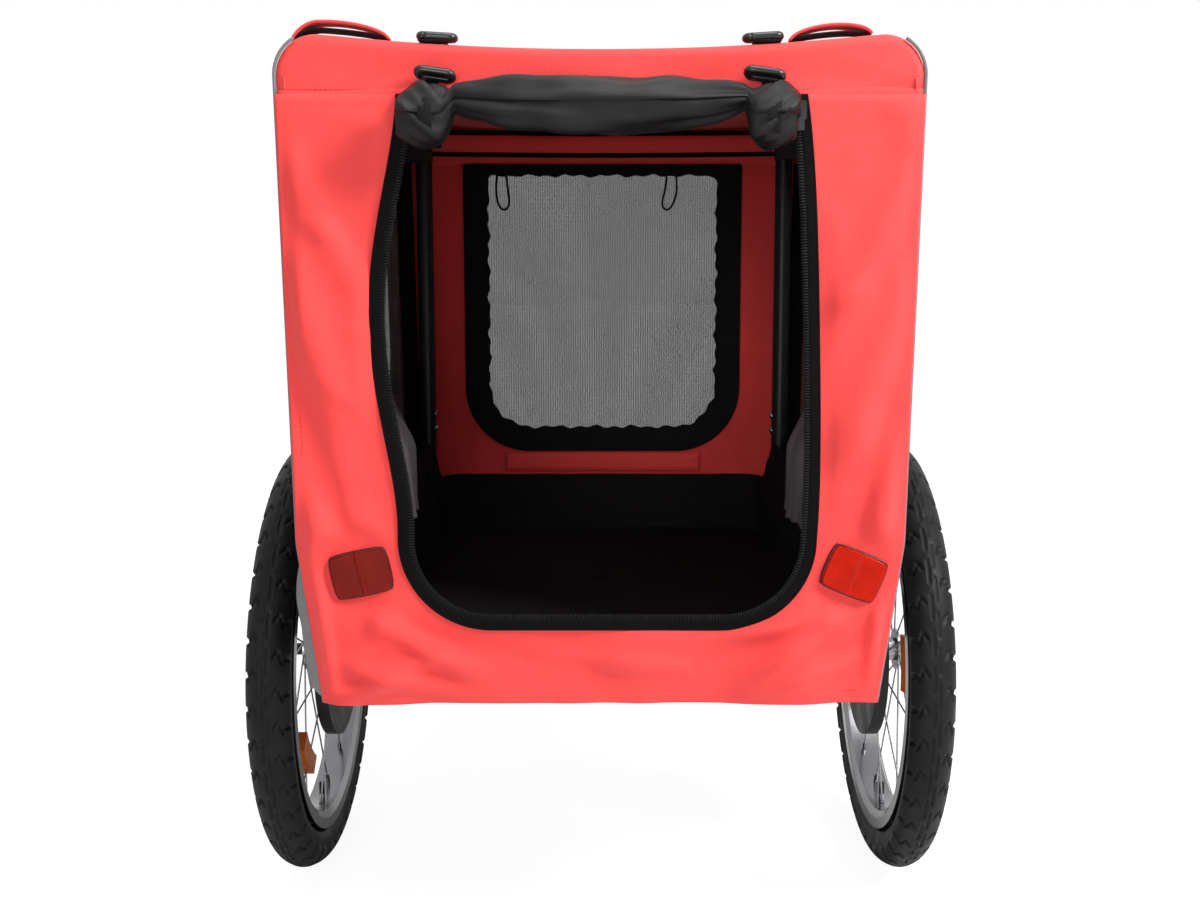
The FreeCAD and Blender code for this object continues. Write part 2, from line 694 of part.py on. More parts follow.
def roof_panel():
    """Roof with its front and rear brows and rounded shoulders."""
    outer = cover_block(0, COVER_HALF_L)
    inner = cover_block(COVER_T, COVER_HALF_L - COVER_T)
    return outer.cut(inner).common(slab(SEAM_Z, ROOF_Z + 1)).removeSplitter()


def end_panel(y_side):
    """Flat end wall below the seam; y_side is -1 at the rear."""
    y0 = -COVER_HALF_L if y_side < 0 else COVER_HALF_L - COVER_T
    wall = cover_outline(0).translated(V(0, y0, 0)).extrude(V(0, COVER_T, 0))
    return wall.common(slab(HEM_Z, SEAM_Z))


def rounded_block(half_w, z0, z1, radius, y0, y1):
    """Block across Y with its four corners rounded."""
    block = box(-half_w, half_w, y0, y1, z0, z1)
    edges = [e for e in block.Edges if abs(e.tangentAt(e.FirstParameter).y) > 0.9]
    return block.makeFillet(radius, edges)


def door_side(side, grow):
    """One side of the door opening: head, widest point, and start, middle and end of its lower corner."""
    radius = DOOR_CORNER_R + grow
    sill = DOOR_SILL_Z - grow
    bend = radius * math.sqrt(0.5)
    low = DOOR_LOW_X + side * (DOOR_LOW_HALF + grow)
    turn = low - side * radius
    return [V(DOOR_TOP_X + side * (DOOR_TOP_HALF + grow), 0, SEAM_Z),
            V(DOOR_MID_X + side * (DOOR_MID_HALF + grow), 0, DOOR_MID_Z),
            V(low, 0, sill + radius),
            V(turn + side * bend, 0, sill + radius - bend),
            V(turn, 0, sill)]


def door_face(grow):
    """Door opening: slightly barrel-sided, square at the seam, with round lower corners."""
    left = door_side(-1, grow)
    right = door_side(1, grow)
    edges = Part.makePolygon([left[0]] + right[:3]).Edges
    edges.append(Part.Arc(right[2], right[3], right[4]).toShape())
    edges += Part.makePolygon([right[4], left[4]]).Edges
    edges.append(Part.Arc(left[4], left[3], left[2]).toShape())
    edges += Part.makePolygon([left[2], left[1], left[0]]).Edges
    return Part.Face(Part.Wire(edges))


def rear_panel():
    """Rear wall with the door opening."""
    hole = door_face(0).translated(V(0, -COVER_HALF_L, 0)).extrude(V(0, COVER_T, 0))
    return end_panel(-1).cut(hole)


def door_zip():
    """Zip tape round the sides and sill of the door opening."""
    band = door_face(ZIP_W).cut(door_face(0)).Faces[0]
    return band.translated(V(0, -COVER_HALF_L - ZIP_T, 0)).extrude(V(0, ZIP_T, 0))


def zip_sliders():
    """Slider and pull tab parked at each upper end of the zip."""
    out = []
    face_y = -COVER_HALF_L - ZIP_T
    for side in (-1, 1):
        head, widest = door_side(side, ZIP_W / 2)[:2]
        z = SEAM_Z - SLIDER_L - TAB_W
        x = head.x + (widest.x - head.x) * (SEAM_Z - z) / (SEAM_Z - DOOR_MID_Z)
        body = box(x - SLIDER_W / 2, x + SLIDER_W / 2, face_y - SLIDER_T, face_y, z, z + SLIDER_L)
        tab = box(x - TAB_W / 2, x + TAB_W / 2, face_y - SLIDER_T - TAB_T, face_y - SLIDER_T,
                  z + SLIDER_L - TAB_L, z + SLIDER_L)
        out.append(body.fuse(tab))
    return group(out)


def front_panel():
    """Front wall with its window opening."""
    hole = rounded_block(FRONT_WINDOW_HALF, FRONT_WINDOW_LOW, FRONT_WINDOW_TOP, WINDOW_CORNER_R / 3,
                         0, 2 * COVER_HALF_L)
    return end_panel(1).cut(hole)


def front_window():
    """Mesh sheet sewn behind the front opening."""
    inner = COVER_HALF_L - COVER_T
    half = FRONT_WINDOW_HALF + WINDOW_LAP
    return rounded_block(half, FRONT_WINDOW_LOW - WINDOW_LAP, FRONT_WINDOW_TOP + WINDOW_LAP,
                         WINDOW_CORNER_R / 3 + WINDOW_LAP, inner - MESH_T, inner)


def front_window_border():
    """Wide binding round the front mesh, on the inside."""
    back = COVER_HALF_L - COVER_T - MESH_T
    outer = rounded_block(FRONT_WINDOW_HALF + BORDER_W, FRONT_WINDOW_LOW - BORDER_W, SEAM_Z - COVER_T,
                          WINDOW_CORNER_R / 2, back - BORDER_T, back)
    inner = rounded_block(FRONT_WINDOW_HALF, FRONT_WINDOW_LOW, FRONT_WINDOW_TOP, WINDOW_CORNER_R / 3,
                          back - BORDER_T, back)
    return outer.cut(inner)


def side_window_block(grow):
    """Block through one side wall at its window."""
    block = box(0, WHEEL_D, -SIDE_WINDOW_HALF_L - grow, SIDE_WINDOW_HALF_L + grow,
                SIDE_WINDOW_LOW - grow, SIDE_WINDOW_TOP + grow)
    edges = [e for e in block.Edges if abs(e.tangentAt(e.FirstParameter).x) > 0.9]
    return block.makeFillet(WINDOW_CORNER_R + grow, edges)


def side_panel(side):
    """Side wall between the end walls, with its window opening and a notch over each cross tube."""
    half_l = COVER_HALF_L - COVER_T
    band = cover_block(0, half_l).cut(cover_block(COVER_T, half_l))
    wall = band.common(box(COVER_T * 10, WHEEL_D, -half_l, half_l, HEM_Z + COVER_T, SEAM_Z))
    for y in (-CROSS_TUBE_Y, CROSS_TUBE_Y):
        reach = FRAME_TUBE / 2 + SEAT
        wall = wall.cut(box(0, WHEEL_D, y - reach, y + reach, 0, FRAME_BOTTOM + SEAT))
    wall = wall.cut(side_window_block(0)).removeSplitter()
    return wall if side > 0 else mirror_x(wall)


def side_windows():
    """Mesh sheets sewn behind the side openings."""
    half_l = COVER_HALF_L - COVER_T
    band = cover_block(COVER_T, half_l).cut(cover_block(COVER_T + MESH_T, half_l))
    mesh = band.common(side_window_block(WINDOW_LAP)).removeSplitter()
    return group([mesh, mirror_x(mesh)])


def door_roll():
    """Rolled-up door: thick and riding up in the middle, drawn in at the straps, flared at the ends."""
    stations = [(-ROLL_HALF_L, ROLL_END_R, 0), (-ROLL_NECK_X - STRAP_W / 2, ROLL_NECK_R, 0),
                (STRAP_W / 2 - ROLL_NECK_X, ROLL_NECK_R, 0),
                (-ROLL_NECK_X / 2, ROLL_R * ROLL_SLACK, ROLL_LIFT / 2),
                (0, ROLL_R, ROLL_LIFT)]
    stations += [(-x, r, dz) for x, r, dz in reversed(stations[:-1])]
    rings = [Part.Wire(Part.Circle(V(x, ROLL_Y, ROLL_Z + dz), X_AXIS, r).toShape()) for x, r, dz in stations]
    return Part.makeLoft(rings, True, True)


def strap_places():
    """Middle of both roll straps."""
    return (-ROLL_NECK_X, ROLL_NECK_X)


def roof_height(x):
    """Outer height of the sagging roof at one X."""
    half = SHOULDER_HALF - ROOF_CORNER_R
    radius = (half * half + ROOF_SAG * ROOF_SAG) / (2 * ROOF_SAG)
    centre = ROOF_Z - ROOF_SAG + radius
    return centre - math.sqrt(radius * radius - x * x)


def strap_top():
    """Underside of the straps where they lie on the roof."""
    return roof_height(ROLL_NECK_X + STRAP_W / 2) + SEAT


def roll_straps():
    """Webbing straps round the roll's ends and up to the seam, and a tab behind each on the roof."""
    out = []
    brow = -COVER_HALF_L - SEAT
    top = strap_top()
    for x in strap_places():
        x0 = x - STRAP_W / 2
        x1 = x + STRAP_W / 2
        loop_r = ROLL_NECK_R + SEAT
        loop = rod(loop_r + STRAP_T, V(x0, ROLL_Y, ROLL_Z), V(x1, ROLL_Y, ROLL_Z))
        tail = box(x0, x1, ROLL_Y, brow, ROLL_Z + loop_r, ROLL_Z + loop_r + STRAP_T)
        climb = box(x0, x1, brow - STRAP_T, brow, ROLL_Z + loop_r, BUCKLE_Z + BUCKLE_L / 2)
        strap = loop.fuse([tail, climb])
        strap = strap.cut(rod(loop_r, V(x0, ROLL_Y, ROLL_Z), V(x1, ROLL_Y, ROLL_Z)))
        out.append(strap.removeSplitter())
        start = STRAP_ROOF_SETBACK - COVER_HALF_L
        out.append(box(x0, x1, start, start + STRAP_ROOF_L, top, top + STRAP_T))
    return group(out)


def soft_block(x, y0, y1, z0, z1, half_w, radius):
    """Moulded block with rounded edges."""
    block = box(x - half_w, x + half_w, y0, y1, z0, z1)
    return block.makeFillet(radius, block.Edges)


def brow_buckles():
    """Side-release buckles on the straps in front of the brow."""
    back = -COVER_HALF_L - SEAT - STRAP_T
    low = BUCKLE_Z - BUCKLE_L / 2
    return [soft_block(x, back - BUCKLE_T, back, low, low + BUCKLE_L, BUCKLE_W / 2, BUCKLE_T / 4)
            for x in strap_places()]


def roof_buckles():
    """Ladder buckles at the straps' ends on the roof."""
    low = strap_top() + STRAP_T
    back = STRAP_ROOF_SETBACK - COVER_HALF_L
    return [soft_block(x, back, back + BUCKLE_L, low, low + BUCKLE_T, BUCKLE_W / 2, BUCKLE_T / 4)
            for x in strap_places()]


def roof_loops():
    """Sewn grab loops that arch over the rear corners of the roof."""
    half = LOOP_SPAN / 2
    low = roof_height(LOOP_X + half) + SEAT
    under = Part.Arc(V(-half, 0, low), V(0, 0, low + LOOP_RISE), V(half, 0, low)).toShape()
    top = low + LOOP_T
    over = Part.Arc(V(half, 0, top), V(0, 0, top + LOOP_RISE), V(-half, 0, top)).toShape()
    ends = [Part.makeLine(V(half, 0, low), V(half, 0, low + LOOP_T)),
            Part.makeLine(V(-half, 0, low + LOOP_T), V(-half, 0, low))]
    strip = Part.Face(Part.Wire([under, ends[0], over, ends[1]])).extrude(V(0, LOOP_W, 0))
    y0 = -COVER_HALF_L + LOOP_INSET
    return group([strip.translated(V(x, y0, 0)) for x in (-LOOP_X, LOOP_X)])


def rear_reflectors():
    """Tilted reflectors on the lower rear wall."""
    out = []
    for side, tilt in ((-1, -REFLECTOR_LEFT_DEG), (1, REFLECTOR_RIGHT_DEG)):
        plate = rounded_block(REFLECTOR_W / 2, -REFLECTOR_H / 2, REFLECTOR_H / 2, REFLECTOR_R,
                              -COVER_HALF_L - REFLECTOR_T, -COVER_HALF_L)
        plate.rotate(V(0, 0, 0), Y_AXIS, tilt)
        out.append(plate.translated(V(side * REFLECTOR_X + REFLECTOR_SHIFT, 0, REFLECTOR_Z)))
    return group(out)


def tie_path(x, half_w):
    """Route of one tie loop: down from its grommet, round and back up."""
    y = COVER_HALF_L - COVER_T - MESH_T - BORDER_T - TIE_R - SEAT
    top = FRONT_WINDOW_TOP + WINDOW_LAP
    low = top - TIE_DROP
    edges = [Part.makeLine(V(x - half_w, y, top), V(x - half_w, y, low)),
             Part.Arc(V(x - half_w, y, low), V(x, y, low - half_w), V(x + half_w, y, low)).toShape(),
             Part.makeLine(V(x + half_w, y, low), V(x + half_w, y, top))]
    return Part.Wire(edges)


def window_tie(x):
    """Elastic tie loop that hangs inside the front window."""
    path = tie_path(x, TIE_HALF_W)
    start = path.Vertexes[0].Point
    section = Part.Wire(Part.Circle(start, Z_AXIS, TIE_R).toShape())
    print("tie loop radius", TIE_HALF_W, "length", round(path.Length, 1))
    return path.makePipeShell([section], True, False)


# Tow bar and hitch


def tow_path():
    """Tow bar's middle line: straight, inwards and straight again, with tangent arcs."""
    corner = [V(TOW_X, TOW_PIVOT_Y, TOW_Z), V(TOW_X, TOW_PIVOT_Y + TOW_STRAIGHT, TOW_Z),
              V(HITCH_X, TOW_END_Y - TOW_STRAIGHT, TOW_Z), V(HITCH_X, TOW_END_Y, TOW_Z)]
    edges = []
    last = corner[0]
    for before, point, after in zip(corner, corner[1:], corner[2:]):
        into = (point - before).normalize()
        out = (after - point).normalize()
        turn = into.getAngle(out)
        cut = TOW_BEND_R * math.tan(turn / 2)
        middle = (out - into).normalize()
        centre = point + middle * (TOW_BEND_R / math.cos(turn / 2))
        start = point - into * cut
        end = point + out * cut
        edges.append(Part.makeLine(last, start))
        edges.append(Part.Arc(start, centre - middle * TOW_BEND_R, end).toShape())
        last = end
    edges.append(Part.makeLine(last, corner[-1]))
    return Part.Wire(edges)


def tow_bar():
    """Bent tube with a round eye end in the clevis."""
    path = tow_path()
    start = path.Vertexes[0].Point

    def sweep(radius):
        section = Part.Wire(Part.Circle(start, Y_AXIS, radius).toShape())
        return path.makePipeShell([section], True, False)

    bar = sweep(TOW_R).cut(sweep(TOW_R - TOW_WALL))
    eye = Part.makeCylinder(TOW_R, 2 * TOW_R, V(TOW_X - TOW_R, TOW_PIVOT_Y, TOW_Z), X_AXIS)
    plug = box(TOW_X - TOW_R, TOW_X + TOW_R, TOW_PIVOT_Y, TOW_PIVOT_Y + 2 * TOW_R,
               TOW_Z - TOW_R, TOW_Z + TOW_R)
    plug = plug.common(rod(TOW_R, V(TOW_X, TOW_PIVOT_Y, TOW_Z), V(TOW_X, TOW_PIVOT_Y + 3 * TOW_R, TOW_Z)))
    bar = bar.fuse([eye, plug])
    pin = Part.makeCylinder(TOW_PIN_R + RUNNING, 4 * TOW_R, V(TOW_X - 2 * TOW_R, TOW_PIVOT_Y, TOW_Z), X_AXIS)
    return bar.cut(pin).removeSplitter()


def tow_clevis():
    """Clevis under the front tube, with a web that stops the bar from rising."""
    near = TOW_R + CHEEK_GAP
    parts = []
    for x0 in (TOW_X - near - TOW_CHEEK_T, TOW_X + near):
        cheek = box(x0, x0 + TOW_CHEEK_T, TOW_PIVOT_Y - TOW_CHEEK_HALF, TOW_PIVOT_Y + TOW_CHEEK_HALF,
                    TOW_Z, FRAME_BOTTOM)
        nose = Part.makeCylinder(TOW_CHEEK_HALF, TOW_CHEEK_T, V(x0, TOW_PIVOT_Y, TOW_Z), X_AXIS)
        parts.append(cheek.fuse(nose))
    web = box(TOW_X - near - TOW_CHEEK_T, TOW_X + near + TOW_CHEEK_T,
              TOW_PIVOT_Y, TOW_PIVOT_Y + TOW_CHEEK_HALF,
              TOW_Z + TOW_R + SEAT, FRAME_BOTTOM)
    clevis = parts[0].fuse([parts[1], web])
    pin = Part.makeCylinder(TOW_PIN_R, 4 * near, V(TOW_X - 2 * near, TOW_PIVOT_Y, TOW_Z), X_AXIS)
    return clevis.cut(pin).removeSplitter()


def tow_pivot_bolt():
    """Pivot bolt through the clevis, long enough for the knob."""
    right = TOW_X + TOW_R + CHEEK_GAP + TOW_CHEEK_T
    left = TOW_X - TOW_R - CHEEK_GAP - TOW_CHEEK_T - KNOB_T
    shank = rod(TOW_PIN_R, V(left, TOW_PIVOT_Y, TOW_Z), V(right, TOW_PIVOT_Y, TOW_Z))
    head = rod(TOW_PIN_R * BOLT_HEAD, V(right, TOW_PIVOT_Y, TOW_Z), V(right + TOW_PIN_R, TOW_PIVOT_Y, TOW_Z))
    return shank.fuse(head).removeSplitter()


def tow_knob():
    """Star knob on the pivot bolt."""
    face = TOW_X - TOW_R - CHEEK_GAP - TOW_CHEEK_T - SEAT
    end = V(face, TOW_PIVOT_Y, TOW_Z)
    knob = rod(KNOB_R * 0.8, end - X_AXIS * KNOB_T, end)
    for i in range(KNOB_LOBES):
        angle = 2 * math.pi * i / KNOB_LOBES
        offset = V(0, math.cos(angle), math.sin(angle)) * (KNOB_R * LOBE_AT)
        knob = knob.fuse(rod(KNOB_R * LOBE_SIZE, end + offset - X_AXIS * KNOB_T, end + offset))
    knob = knob.cut(rod(TOW_PIN_R + RUNNING, end - X_AXIS * (KNOB_T + 1), end + X_AXIS))
    return knob.removeSplitter()


def hitch_flex():
    """Waisted rubber block between the bar and the hitch fork."""
    y0 = TOW_END_Y
    y1 = FORK_Y
    edge = [V(0, y0, 0), V(FLEX_R, y0, 0)]
    side = Part.Arc(V(FLEX_R, y0, 0), V(FLEX_WAIST_R, (y0 + y1) / 2, 0), V(FLEX_R, y1, 0)).toShape()
    closing = Part.makePolygon([V(FLEX_R, y1, 0), V(0, y1, 0), edge[0]]).Edges
    outline = Part.makePolygon(edge).Edges + [side] + closing
    block = Part.Face(Part.Wire(outline)).revolve(V(0, 0, 0), Y_AXIS, 360)
    return block.translated(V(HITCH_X, 0, TOW_Z))


def hitch_fork():
    """Steel fork that holds the hitch plate's eye."""
    near = HITCH_EYE_W / 2 + CHEEK_GAP
    far = near + FORK_T
    back = box(HITCH_X - far, HITCH_X + far, FORK_Y, FORK_Y + FORK_T,
               TOW_Z - FORK_HALF_H, TOW_Z + FORK_HALF_H)
    parts = []
    for x0 in (HITCH_X - far, HITCH_X + near):
        cheek = box(x0, x0 + FORK_T, FORK_Y, HITCH_PIN_Y, TOW_Z - FORK_HALF_H, TOW_Z + FORK_HALF_H)
        round_end = Part.makeCylinder(FORK_HALF_H, FORK_T, V(x0, HITCH_PIN_Y, TOW_Z), X_AXIS)
        parts.append(cheek.fuse(round_end))
    fork = back.fuse(parts)
    eye = V(HITCH_X, HITCH_PIN_Y, TOW_Z)
    hole = rod(HITCH_PIN_R + RUNNING, eye - X_AXIS * (2 * far), eye + X_AXIS * (2 * far))
    return fork.cut(hole).removeSplitter()


def hitch_plate():
    """Hitch plate: an eye on the fork's pin and a hole for the bicycle's rear axle."""
    eye_centre = V(HITCH_X, HITCH_PIN_Y, TOW_Z)
    hole_centre = eye_centre + V(0, HITCH_REACH, 0)
    eye = rod(HITCH_EYE_R, eye_centre - X_AXIS * (HITCH_EYE_W / 2), eye_centre + X_AXIS * (HITCH_EYE_W / 2))
    half = HITCH_PLATE_T / 2
    arm = box(HITCH_X - half, HITCH_X + half, HITCH_PIN_Y, HITCH_PIN_Y + HITCH_REACH,
              TOW_Z - HITCH_EYE_R, TOW_Z + HITCH_EYE_R)
    end = rod(HITCH_EYE_R, hole_centre - X_AXIS * half, hole_centre + X_AXIS * half)
    plate = eye.fuse([arm, end])
    through = X_AXIS * HITCH_EYE_W
    plate = plate.cut(rod(HITCH_PIN_R + RUNNING, eye_centre - through, eye_centre + through))
    plate = plate.cut(rod(AXLE_HOLE_R, hole_centre - through, hole_centre + through))
    return plate.removeSplitter()


def hitch_pin():
    """Hitch pin with a head and a pull ring on the right."""
    far = HITCH_EYE_W / 2 + CHEEK_GAP + FORK_T
    left = V(HITCH_X - far - FORK_T, HITCH_PIN_Y, TOW_Z)
    right = V(HITCH_X + far + SEAT, HITCH_PIN_Y, TOW_Z)
    head_end = right + X_AXIS * (2 * FORK_T)
    head = rod(2 * HITCH_PIN_R, right, head_end)
    pull = Part.makeTorus(RING_R, RING_WIRE_R, head_end + X_AXIS * (RING_R - HITCH_PIN_R), Z_AXIS)
    return rod(HITCH_PIN_R, left, right + X_AXIS).fuse([head, pull]).removeSplitter()


def nodes():
    """Every node by name."""
    wheel = {"tyre": tyre(), "inner_tube": inner_tube(), "rim": rim(), "spokes": spokes(), "hub": hub(),
             "bearings": bearings(), "valve": valve()}
    out = {}
    for side, name, turn in ((-1, "left", LEFT_REFLECTOR_DEG), (1, "right", RIGHT_REFLECTOR_DEG)):
        for part, shape in wheel.items():
            out[name + "_" + part] = at_wheel(shape, side)
        out[name + "_spoke_reflector"] = at_wheel(wheel_reflector(turn), side)
        out[name + "_axle"] = axle_pin(side)
        out[name + "_axle_button"] = axle_button(side)
        out[name + "_axle_plate"] = axle_plate(side)
        out[name + "_side_panel"] = side_panel(side)
        places = [y for s, y in post_places() if s == side]
        out[name + "_posts"] = group([post(side, y) for y in places])
        out[name + "_post_caps"] = group([post_cap(side, y) for y in places])
    out["axle_plate_bolts"] = plate_bolts()
    out["floor_frame"] = floor_frame()
    out["cross_tubes"] = group(floor_rungs() + axle_cross_tubes())
    out["axle_bushes"] = group([axle_bush(-1), axle_bush(1)])
    out["floor_board"] = floor_board()
    out["floor_tub"] = floor_tub()
    out["hinge_brackets"] = group([hinge_bracket(s, y) for s, y in post_places()])
    out["pivot_bolts"] = group([hinge_pin(s, y) for s, y in post_places()] + [tow_pivot_bolt()])
    for build in (roof_rails, roof_bars, roof_fittings, roof_panel, rear_panel, door_zip, zip_sliders,
                  front_panel,
                  front_window, front_window_border, side_windows, door_roll, roll_straps, roof_loops,
                  rear_reflectors, tow_bar, tow_clevis, tow_knob, hitch_flex, hitch_fork,
                  hitch_plate, hitch_pin):
        out[build.__name__] = build()
    out["strap_buckles"] = group(brow_buckles() + roof_buckles())
    out["window_ties"] = group([window_tie(TIE_X_LEFT), window_tie(TIE_X_RIGHT)])
    return out


os.makedirs("parts", exist_ok=True)
for node, shape in nodes().items():
    shape.translated(V(0, CENTRE_SHIFT, 0)).exportStep("parts/" + node + ".step")
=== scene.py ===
"""Dog bike trailer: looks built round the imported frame.

All sizes are metres. Pieces are drawn in the trailer's own axes, with the axle above the
origin, X to the right seen from behind and Y towards the tow bar, and are moved into the
shared frame when their mesh is made.
"""

from __future__ import annotations

import json
import logging
import math
from dataclasses import dataclass
from enum import Enum

import bmesh
import bpy
import numpy as np
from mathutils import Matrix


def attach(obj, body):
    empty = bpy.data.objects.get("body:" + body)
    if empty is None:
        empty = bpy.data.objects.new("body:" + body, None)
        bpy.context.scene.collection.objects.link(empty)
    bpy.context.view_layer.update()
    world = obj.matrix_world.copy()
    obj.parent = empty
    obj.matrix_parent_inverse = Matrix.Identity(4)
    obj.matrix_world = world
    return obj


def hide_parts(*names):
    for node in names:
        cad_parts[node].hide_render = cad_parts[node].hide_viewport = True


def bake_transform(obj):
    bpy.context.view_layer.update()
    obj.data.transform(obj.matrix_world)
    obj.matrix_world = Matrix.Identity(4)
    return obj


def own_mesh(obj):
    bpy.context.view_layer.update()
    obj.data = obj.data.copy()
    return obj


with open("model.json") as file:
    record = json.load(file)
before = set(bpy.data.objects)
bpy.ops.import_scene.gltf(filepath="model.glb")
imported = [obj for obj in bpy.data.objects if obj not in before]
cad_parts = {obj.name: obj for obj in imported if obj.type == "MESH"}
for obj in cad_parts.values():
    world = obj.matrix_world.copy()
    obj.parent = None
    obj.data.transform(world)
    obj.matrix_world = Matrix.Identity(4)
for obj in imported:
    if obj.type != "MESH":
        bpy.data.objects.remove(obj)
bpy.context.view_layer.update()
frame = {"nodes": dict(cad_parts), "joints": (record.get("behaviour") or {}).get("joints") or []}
LOG = logging.getLogger("trailer")
JOINTS = {joint["name"]: joint for joint in frame["joints"]}
AXLE = np.array([0.0, JOINTS["left_wheel_spin"]["pos_m"][1], 0.0])
ASIDE, AHEAD, UP = np.eye(3)
SIDES = ((-1, "left"), (1, "right"))
WELD = 1e-6

# Shares of the roof frame's drop given for pieces on the roof's edge and on the lower wall; dress() reads
# only whether a share is given.
ROOF_SHARE = 0.946
LENS_SHARE = 0.148

# Rear reflectors: height of their middles, and for each its place across the wall and its tilt in degrees.
LENS_Z = 0.417
LENS_PLACES = ((-0.2235, -12.0), (0.2365, 22.0))

# Large creases of the rear wall: X and Z of one end, X and Z of the other, half width and rise.
REAR_CREASES = (
    (-0.25, 0.40, -0.11, 0.315, 0.010, 0.0055),
    (-0.21, 0.37, -0.06, 0.335, 0.012, -0.0045),
    (-0.262, 0.47, -0.20, 0.36, 0.012, 0.005),
    (-0.275, 0.56, -0.22, 0.40, 0.013, -0.004),
    (0.25, 0.40, 0.13, 0.305, 0.010, 0.0055),
    (0.215, 0.372, 0.09, 0.33, 0.012, -0.0045),
    (0.268, 0.50, 0.225, 0.37, 0.012, 0.005),
    (0.275, 0.60, 0.23, 0.44, 0.014, -0.004),
    (-0.285, 0.80, -0.205, 0.66, 0.016, 0.0035),
    (0.285, 0.80, 0.205, 0.62, 0.016, 0.0035),
    (-0.08, 0.345, 0.09, 0.325, 0.011, 0.0035),
    (-0.255, 0.335, -0.13, 0.30, 0.008, 0.004),
    (0.255, 0.34, 0.14, 0.30, 0.008, 0.004),
    (-0.266, 0.44, -0.252, 0.285, 0.007, 0.0055),
    (0.266, 0.44, 0.252, 0.285, 0.007, 0.0055),
    (-0.245, 0.295, -0.15, 0.34, 0.007, 0.005),
    (0.20, 0.375, 0.12, 0.36, 0.009, 0.004),
    (-0.285, 0.72, -0.23, 0.52, 0.018, 0.004),
    (0.285, 0.70, 0.215, 0.50, 0.020, 0.004),
)

# Slack of the rolled door: height of a wave, waves in a turn, lean across the roll and start.
ROLL_WAVES = ((0.055, 2, 21, 0.4), (0.045, 3, -33, 0.0), (0.035, 5, 28, 0.0), (0.02, 9, -17, 0.0))

Colour = tuple[float, float, float]
Socket = bpy.types.NodeSocket
Piece = bpy.types.Object
Material = bpy.types.Material


class Body(Enum):
    """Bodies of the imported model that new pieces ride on."""

    CHASSIS = "chassis"
    ROOF = "roof_frame"
    LEFT_WHEEL = "left_wheel"
    RIGHT_WHEEL = "right_wheel"
    LEFT_POSTS = "left_side_posts"
    RIGHT_POSTS = "right_side_posts"


class Slot(Enum):
    """Material slots of the record; no piece here is given one."""

    RED = "red_fabric"
    BLACK = "black_fabric"
    GREY = "grey_fabric"
    MESH = "mesh"
    PLASTIC = "black_plastic"
    TYRE = "tyre"
    CHROME = "chrome"
    LENS = "red_lens"


